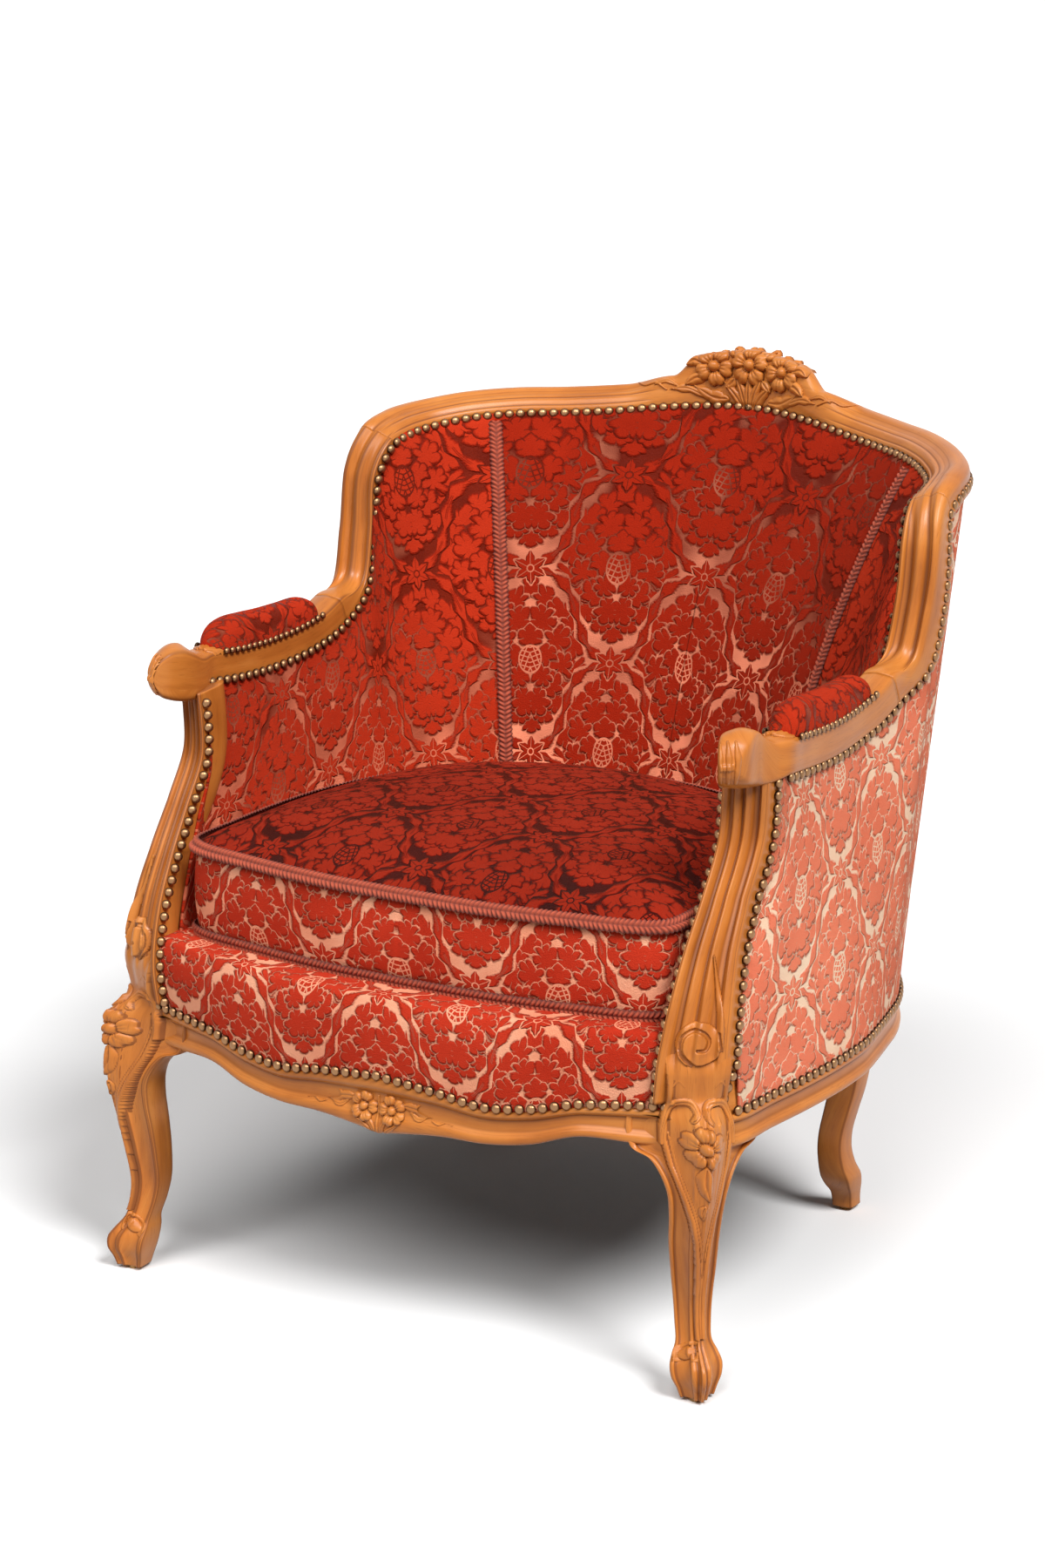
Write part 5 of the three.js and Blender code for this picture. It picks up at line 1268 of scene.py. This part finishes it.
def stroke(u, v, line, widths, rise, rib=0.0, lobes=0.0):
    count = 28
    marks = np.linspace(0, 1, count)
    line = np.pad(np.asarray(line, float), ((0, 0), (0, 1)))
    places = through(line, marks * (len(line) - 1))[:, :2]
    wide = np.interp(marks, np.linspace(0, 1, len(widths)), widths)
    wide = wide * (1 + 0.22 * np.sin(marks * lobes * 2 * math.pi))
    spots = np.stack([u, v], axis=-1)[..., None, :]
    begin, reach = places[:-1], np.diff(places, axis=0)
    share = np.clip(((spots - begin) * reach).sum(-1) / (reach ** 2).sum(-1), 0, 1)
    apart = np.linalg.norm(spots - begin - share[..., None] * reach, axis=-1)
    away = (apart / (wide[:-1] + share * np.diff(wide))).min(-1)
    body = rise * np.sqrt(np.clip(1 - away ** 2, 0, 1)) - rib * np.exp(-((away / 0.2) ** 2))
    return np.where(away < 1, body, NOTHING)


def leaf(u, v, start, bend, tip, width, rise, lobes=0.0):
    widths = (width * 0.3, width, width * 0.85, width * 0.08)
    return stroke(u, v, (start, bend, tip), widths, rise, rise * 0.4, lobes)


def leaves(u, v, *rows):
    return [leaf(u, v, *row) for row in rows]


def highest(*pieces):
    return np.maximum.reduce(pieces)


def spiral(x, y, radii, start, turns):
    angles = np.radians(start + np.linspace(0, 360 * turns, len(radii)))
    return [(x + r * math.cos(a), y + r * math.sin(a)) for r, a in zip(radii, angles)]


def crest_relief(u, v):
    side = np.abs(u)
    fan = leaves(side, v, ((0, -38), (0, -22), (0, -4), 5.5, 6), ((3, -38), (8, -20), (16, -4), 5.5, 5.6),
                 ((6, -38), (16, -25), (30, -12), 6, 5))
    sprays = leaves(side, v, ((26, -30), (42, -30), (64, -20), 8, 3.4, 3),
                    ((52, -30), (72, -24), (92, -27), 5, 2.8, 2),
                    ((84, -22), (98, -18), (112, -24), 3.4, 2.4))
    tip = stroke(side, v, ((96, -28), (112, -21), (126, -25), (140, -22)), (1, 2.2, 1.8, 0.4), 2)
    buds = leaves(side, v, ((52, -8), (64, -12), (74, -20), 7, 5.5), ((58, 6), (68, 8), (76, 2), 7, 6),
                  ((20, 20), (23, 24), (27, 28), 7, 5.5), ((18, -8), (22, -13), (28, -18), 6, 5.5))
    flowers = [flower(side, v, 0, 9, 23, 9), flower(side, v, 43, 4, 22, 8, 5, 0.4)]
    return highest(*fan, *sprays, *buds, tip, *flowers)


def apron_relief(u, v):
    side = np.abs(u)
    sprays = leaves(side, v, ((30, 4), (48, 2), (70, -3), 6, 2.2, 2), ((38, -2), (48, -7), (58, -4), 3, 1.8),
                    ((74, 0), (92, -1), (112, -6), 5, 2, 2))
    stem = stroke(side, v, ((64, -6), (72, -8), (80, -5), (88, -7)), (0.8, 1.4, 1.2, 0.4), 1.4)
    rib = stroke(side, v, ((0, -30), (0, -20), (0, 10)), (2, 1.6, 0.6), 2)
    fan = leaves(side, v, ((3, -30), (6, -22), (14, -10), 3, 2.4), ((7, -30), (14, -24), (26, -16), 3, 2.2))
    return highest(*sprays, *fan, stem, rib, flower(side, v, 17, -3, 16, 5.5, 5, 0.3))


# Half the width of the knee's carving at each height
KNEE_EDGE = [
    (-205, 6), (-160, 6), (-125, 7.5), (-100, 10), (-78, 14), (-50, 22), (-25, 30), (0, 35), (22, 34),
    (36, 30), (58, 30), (84, 32), (96, 32),
]


def knee_relief(u, v):
    side = np.abs(u)
    edge = np.interp(v, *zip(*KNEE_EDGE))
    inside = side < edge
    ground = np.where(inside, np.minimum(0.6, (edge - side) * 0.8), NOTHING)
    bead = np.where(inside, 1.8 * np.sqrt(np.clip(1 - ((edge - side - 2.4) / 2.4) ** 2, 0, 1)), 0)
    line = np.where(inside, -0.9 * np.exp(-(((edge - side - 6.4) / 1.1) ** 2)), 0)
    line = line * smoothstep(v, -150, -100)
    hood = stroke(side, v, ((35, -4), (34, 14), (24, 37), (9, 39), (4, 30), (9, 23)),
                  (1.6, 2.6, 4.2, 4.2, 3, 1.4), 4, 1.0)
    inner = stroke(side, v, ((29, 8), (22, -30), (11, -66), (4, -100), (2, -120)),
                   (0.6, 1.6, 1.4, 1.2, 0.5), 1.5)
    curl = stroke(side, v, ((26, 56), (20, 62), (14, 56)), (1, 1.6, 0.6), 1.0)
    pieces = leaves(u, v, ((0, -20), (-1, -36), (3, -53), 8, 5),
                    ((-2, -58), (-4, -64), (-3, -73), 3.8, 3.6))
    surface = ground + (bead + line) * (1 - smoothstep(v, 40, 70)) - 1.3 * smoothstep(v, 66, 94)
    return highest(surface, hood, inner, curl, flower(u, v, 0, 0, 21, 7.5), *pieces)


def volute_relief(u, v):
    away = np.hypot(u + 1, v + 2)
    dome = 4.6 * np.sqrt(np.clip(1 - (away / 23.5) ** 2, 0, 1)) + 0.6
    disc = np.where(away < 23, dome, NOTHING)
    tail = stroke(u, v, ((20, -6), (20.5, 16), (18, 46), (13, 84)), (4, 4, 3, 0.6), 3.6)
    body = np.maximum(disc, tail)
    curl = spiral(-1, -2, (24, 24.5, 22, 19, 17, 14.5, 11.5, 8.5, 5), 30, -1.35)
    groove = np.maximum(stroke(u, v, curl, (1.4, 2.4, 2.6, 2.6, 2.4, 2.2, 2), 1.0), 0)
    return np.where(body > NOTHING, body - groove * 3.4, NOTHING)


def toe_relief(u, v):
    away = np.hypot(u, v)
    ball = np.where(away < 7, 1.2 + np.sqrt(np.clip(49 - away ** 2, 0, 49)) * 0.5, NOTHING)
    curl = stroke(u, v, spiral(0, 0, (9, 10, 11, 13), 250, -0.75), (1.2, 2, 2.2, 1), 1.8)
    return np.maximum(ball, curl)


def arm_end_relief(u, v):
    return highest(*leaves(np.abs(u), v, ((3, -22), (8, -6), (7, 12), 7, 4),
                           ((6, -24), (15, -12), (15, 2), 4, 2.6)))


def arm_reeds(u, v):
    return highest(*[stroke(u, v, ((x, 24), (x * 1.15, 4), (x * 0.9, -24)), (1.4, 3.4, 3, 1.2), 2.6)
                     for x in (-13, -5, 3, 11)])


def wood_tree(*pieces):
    places, faces = [], []
    for piece in pieces:
        first = len(places)
        places += [vertex.co.copy() for vertex in piece.data.vertices]
        faces += [[first + index for index in face.vertices] for face in piece.data.polygons]
    return BVHTree.FromPolygons(places, faces)


RAY_START = 60
BLEND_HEIGHT = 28


# The wood's depth under each point of a grid, smoothed where the carver rounded it off
def smoothed(depths, found, spread):
    reach = int(3 * spread)
    weights = np.exp(-0.5 * (np.arange(-reach, reach + 1) / spread) ** 2)
    total, share = depths * found, found.astype(float)
    for axis in (0, 1):
        total = np.apply_along_axis(np.convolve, axis, total, weights, "same")
        share = np.apply_along_axis(np.convolve, axis, share, weights, "same")
    return total / np.maximum(share, 1e-6)


# Carving laid on the wood as seen along its normal. It is drawn over spans across and up, and its
# ground is rounded up to the height where it runs out
def carving(name, wood, centre, normal, spans, relief, sides=("right", "left"), step=0.8, depth=10,
            upright=False, free=False, rounding=0, runs_out=1000):
    normal = unit(np.array(normal, float))
    right = unit(np.cross((0, 0, 1) if abs(normal[2]) < 0.9 else (0, 1, 0), normal))
    up = np.cross(normal, right)
    u, v = np.meshgrid(np.arange(*spans[:2], step), np.arange(*spans[2:], step), indexing="ij")
    height = relief(u, v)
    drawn = height > SUNK
    padded = np.pad(drawn, 1)
    kept = np.zeros_like(drawn)
    for i in range(3):
        for j in range(3):
            kept |= padded[i:i + drawn.shape[0], j:j + drawn.shape[1]]
    height = np.maximum(height, SUNK)
    starts = centre + right * u[..., None] + up * v[..., None] + normal * RAY_START
    origins = metres(starts)
    depths = np.full(u.shape, float(RAY_START + depth))
    found = np.zeros_like(drawn)
    for at in zip(*np.nonzero(kept)):
        hit = wood.ray_cast(Vector(origins[at]), Vector(-normal), (RAY_START + depth) / 1000)
        if hit[0] is not None:
            depths[at] = hit[3] * 1000
            found[at] = True
    if not free:
        kept &= found
    if rounding:
        even = smoothed(depths, found & kept, rounding / step)
        blend = smoothstep(v, runs_out, runs_out + BLEND_HEIGHT)
        lifted = lerp(even - rounding * 0.62, depths + 0.4, blend)
        depths = np.where(drawn, np.minimum(lifted, depths + 0.4), depths)
    points = starts - normal * (depths - height)[..., None]
    level = np.pad(height, 1, mode="edge")
    around = (level[:-2, 1:-1] + level[2:, 1:-1] + level[1:-1, :-2] + level[1:-1, 2:]) / 4
    hollow = np.clip((around - height) * 0.35, -0.1, 0.3)
    hollow += np.where((height < 0.5) & (v < runs_out), 0.1, 0)
    uv = np.stack([v, u] if upright else [u, v], axis=-1) / 1000
    made = []
    for side in sides:
        turned, way = (mirror, (-1, 1, 1)) if side == "left" else (np.array, (1, 1, 1))
        full_name = f"{name}_{side}" if len(sides) > 1 else name
        made.append(skin(full_name, turned(points), "chair", walnut, uv=uv, toward=normal * way,
                         hollow=hollow, kept=kept))
    return made


# Middles of the carvings on the legs, supports and arms, on the right side
KNEE_PLACE = (358, -332, 271)
TOE_PLACE = (346, -330, 52)
VOLUTE_PLACE = (345, -322, 372)
ARM_FRONT = (345, -274, 642)
ARM_TOP = (344, -160, 660)


def make_carvings(top_rail, apron, leg, support, arm, side_frame):
    crest = frame_at([CREST])[0][0] + (0, 0, 35)
    carving("crest_carving", wood_tree(top_rail), crest, (0, -0.95, 0.3), (-142, 142, -40, 36), crest_relief,
            ["whole"], 0.7, 12, free=True)
    carving("apron_carving", wood_tree(apron), spot(0, -1, 262), (0, -1, 0), (-118, 118, -32, 14),
            apron_relief, ["whole"], 0.7, 4)
    knee = wood_tree(leg, support, apron, side_frame)
    face = carving("knee_carving", knee, KNEE_PLACE, (1, -1, 0), (-38, 38, -205, 96), knee_relief,
                   depth=60, upright=True, rounding=6, runs_out=66)
    carving("toe_carving", knee, TOE_PLACE, (-1, -1, 0), (-14, 14, -14, 14), toe_relief, step=0.6,
            depth=20)
    carving("volute_carving", wood_tree(support, face[0]), VOLUTE_PLACE, (0.47, -0.88, 0.1),
            (-28, 28, -30, 96), volute_relief, step=0.7, depth=40, upright=True, rounding=1.5)
    carving("arm_reeds", wood_tree(arm), ARM_FRONT, (0.58, -0.8, 0.12), (-20, 20, -27, 27),
            arm_reeds, step=0.7, depth=12, upright=True)
    carving("arm_end_carving", wood_tree(arm), ARM_TOP, (0.1, -0.3, 1), (-22, 22, -26, 16),
            arm_end_relief, step=0.7, depth=20, upright=True)


# Dome-headed nails along a line of points, each from one small dome with painted shade at its rim
NAIL_RISE_SHARE = 0.66
NAIL_LIFT = 4.5


def nail_dome():
    bm = bmesh.new()
    deep = bm.verts.layers.float.new("hollow")
    bmesh.ops.create_uvsphere(bm, u_segments=12, v_segments=6, radius=1)
    lower = [vertex for vertex in bm.verts if vertex.co.z < -0.01]
    bmesh.ops.delete(bm, geom=lower, context="VERTS")
    bmesh.ops.scale(bm, vec=(1, 1, NAIL_RISE_SHARE), verts=bm.verts)
    rim = [edge for edge in bm.edges if edge.is_boundary]
    skirt = bmesh.ops.extrude_edge_only(bm, edges=rim)["geom"]
    low = [part for part in skirt if isinstance(part, bmesh.types.BMVert)]
    bmesh.ops.translate(bm, vec=(0, 0, -NAIL_RISE_SHARE / 2), verts=low)
    bmesh.ops.scale(bm, vec=(0.9, 0.9, 1), verts=low)
    bmesh.ops.recalc_face_normals(bm, faces=bm.faces)
    # how low each point lies on the dome, which the brass darkens at the rim as painted shade
    for vertex in bm.verts:
        vertex[deep] = 1 - max(0, vertex.co.z) / NAIL_RISE_SHARE
    return mesh_of("nail_dome", bm)


def nails(name, line, facing, radius, pitch):
    even = spaced(line, pitch)
    near = np.array([np.argmin(np.linalg.norm(line - place, axis=1)) for place in even])
    bm = bmesh.new()
    for number, (place, direction) in enumerate(zip(even, unit(facing[near]))):
        bm.from_mesh(DOME)
        bm.verts.ensure_lookup_table()
        turn = Vector(direction).to_track_quat("Z", "Y").to_matrix().to_4x4()
        turn = turn @ Matrix.Rotation(number, 4, "Z")
        turn = Matrix.Translation(Vector(metres(place))) @ turn @ Matrix.Scale(radius / 1000, 4)
        bmesh.ops.transform(bm, matrix=turn, verts=bm.verts[-len(DOME.vertices):])
    return piece_from(name, bm, "chair", nail_brass)


def nail_pair(name, line, facing, radius, pitch):
    for side, turned in SIDES:
        nails(f"{name}_{side}", turned(line), turned(facing), radius, pitch)


DOME = nail_dome()


def make_nails():
    place, _, out, facing = frame_at(np.linspace(-0.1, CREST, 700))
    rows = {"upper": (place - out * 2.6 - (0, 0, 2), facing * 0.25 - out)}
    support = np.linspace(0.05, SUPPORT_LAST - 0.55, 200)
    each = np.ones((len(support), 1))
    edge = through(SUPPORT_EDGE, support)
    rows["support_inner"] = (edge - SUPPORT_OUT * 3.5 + (0, 2, 0), each * (-0.55, -0.83, 0.05))
    rings = np.array([support_ring(station) for station in support])
    rows["support_outer"] = (outer_side(rings, 0.22, 0.6), each * (SUPPORT_OUT + (0.35, -0.7, 0)))
    stations = np.linspace(0.1, CREST, 400)
    place, _, out, facing = frame_at(stations)
    reach = np.array([(section[OUTER_CORNER][0] * width, section[OUTER_CORNER][1] * height - 3)
                      for section, width, height in map(section_at, stations)])
    rows["outer"] = (place + out * reach[:, :1] + facing * reach[:, 1:], out)
    side = np.linspace(6.9, PLAN_LAST, 500)
    rows["seat_side"] = (plan_points(side, -1.6, NAIL_LINE + NAIL_LIFT), outward_of(heading(RAIL_PLAN, side)))
    front = np.linspace(0, 5.3, 200)
    rows["seat_front"] = (plan_points(front, -2.6, read(NAIL_DIP, front) + NAIL_LIFT),
                          outward_of(heading(RAIL_PLAN, front)))
    for name, (line, directions) in rows.items():
        nail_pair(f"nails_{name}", line, directions, NAIL_RADIUS, NAIL_PITCH)
    place, _, out, facing = frame_at(np.linspace(0.35, 3.4, 200))
    for name, across, way in (("inner", -0.04, -1), ("outer", 1.04, 1)):
        line = place + out * ARM_WIDTH * across + facing * (FACE_HEIGHT + 2)
        nail_pair(f"pad_nails_{name}", line, out * way + facing * 0.2, PAD_NAIL_RADIUS, PAD_NAIL_PITCH)


# Underside cloth, stretched over the seat frame
UNDERSIDE = 257


def make_dust_cover():
    loop = looped(plan_points(np.linspace(0, PLAN_LAST, 80), RAIL_THICKNESS / 2 + 1, UNDERSIDE))
    rings = [lerp(spot(0, -0.25, UNDERSIDE), loop, share) for share in (1, 0.8, 0.6, 0.4, 0.2, 0.01)]
    piece = skin("underside_cloth", rings, "chair", lining, ["dust_cover"], closed=True,
                 thickness=1.2, toward=(0, 0, -1))


def finish_solids():
    finishes = {
        "glide": brass, "spring": steel, "strap": jute, "canvas": linen, "block": beech, "dowel": beech,
    }
    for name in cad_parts:
        solid = bpy.data.objects.get(name)
        if solid is None:
            continue
        for word, material in finishes.items():
            if word in name and solid.data.materials:
                for place in solid.material_slots:
                    place.material = material


# One where a ray shows the surroundings, nought where it lights something
def seen_ray(tree):
    paths = node(tree, "ShaderNodeLightPath")
    camera, glossy, clear = (Sum(paths.outputs[ray])
                             for ray in ("Is Camera Ray", "Is Glossy Ray", "Is Transmission Ray"))
    return camera.max(glossy).max(clear)


# The floor and the air look white, but light the chair less than that
FLOOR_REACH = 30
FLOOR_SEEN, FLOOR_LIT = 0.95, 0.4
AIR_SEEN, AIR_LIT = 1.0, 0.075


def make_room():
    bm = bmesh.new()
    bmesh.ops.create_grid(bm, x_segments=2, y_segments=2, size=FLOOR_REACH)
    floor = placed("floor", mesh_of("floor", bm))
    material, tree, shader = fresh("white_floor")
    brightness = seen_ray(tree).choose(FLOOR_SEEN, FLOOR_LIT)
    tint = node(tree, "ShaderNodeCombineColor", Red=brightness, Green=brightness, Blue=brightness)
    fed(shader, {"Base Color": tint.outputs[0], "Roughness": 0.9, "Specular IOR Level": 0.1})
    floor.data.materials.append(material)
    world = bpy.data.worlds.new("studio")
    bpy.context.scene.world = world
    world.use_nodes = True
    tree = world.node_tree
    strength = seen_ray(tree).choose(AIR_SEEN, AIR_LIT)
    fed(tree.nodes["Background"], {"Color": (1, 1, 1, 1), "Strength": strength})


# A place round the chair, given by its bearing from the front toward the right and its height in degrees
def pointing(bearing, height):
    bearing, height = math.radians(bearing), math.radians(height)
    return Vector((math.sin(bearing) * math.cos(height), -math.cos(bearing) * math.cos(height),
                   math.sin(height)))


# A broad far-off lamp
def lamp(name, bearing, height, strength, spread):
    data = bpy.data.lights.new(name, "SUN")
    data.energy = strength
    data.angle = math.radians(spread)
    made = placed(name, data)
    made.rotation_euler = pointing(bearing, height).to_track_quat("Z", "Y").to_euler()


def make_light_and_camera():
    lamp("window", 66, 48, 3.3, 24)
    lamp("front_light", 6, 49, 2.15, 36)
    scene = bpy.context.scene
    scene.view_settings.view_transform = "Standard"
    data = bpy.data.cameras.new("camera")
    data.sensor_width = FILM_WIDTH
    data.lens = FOCAL_LENGTH * FILM_WIDTH / PICTURE_HEIGHT
    data.shift_x = (PICTURE_WIDTH / 2 - PICTURE_MIDDLE[0]) / PICTURE_HEIGHT
    data.shift_y = (PICTURE_MIDDLE[1] - PICTURE_HEIGHT / 2) / PICTURE_HEIGHT
    camera = placed("camera", data)
    scene.camera = camera
    back = pointing(CAMERA_BEARING, CAMERA_HEIGHT)
    camera.location = Vector((0, DATUM_Y / 1000, CAMERA_AIM)) + back * CAMERA_DISTANCE
    camera.rotation_euler = (-back).to_track_quat("-Z", "Y").to_euler()


supports = make_supports()
arms = make_arms()
make_wings()
top_rail = make_top_rail()
legs = make_legs()
apron, side_frame = make_rails()
make_carvings(top_rail, apron, legs[0], supports[0], arms[0], side_frame)
inside_back = make_inside_covers()
make_outside_covers()
make_seat()
make_arm_pads()
make_cushion()
make_cushion_braids()
make_back_braids(inside_back)
make_nails()
make_dust_cover()
finish_solids()
make_room()
make_light_and_camera()
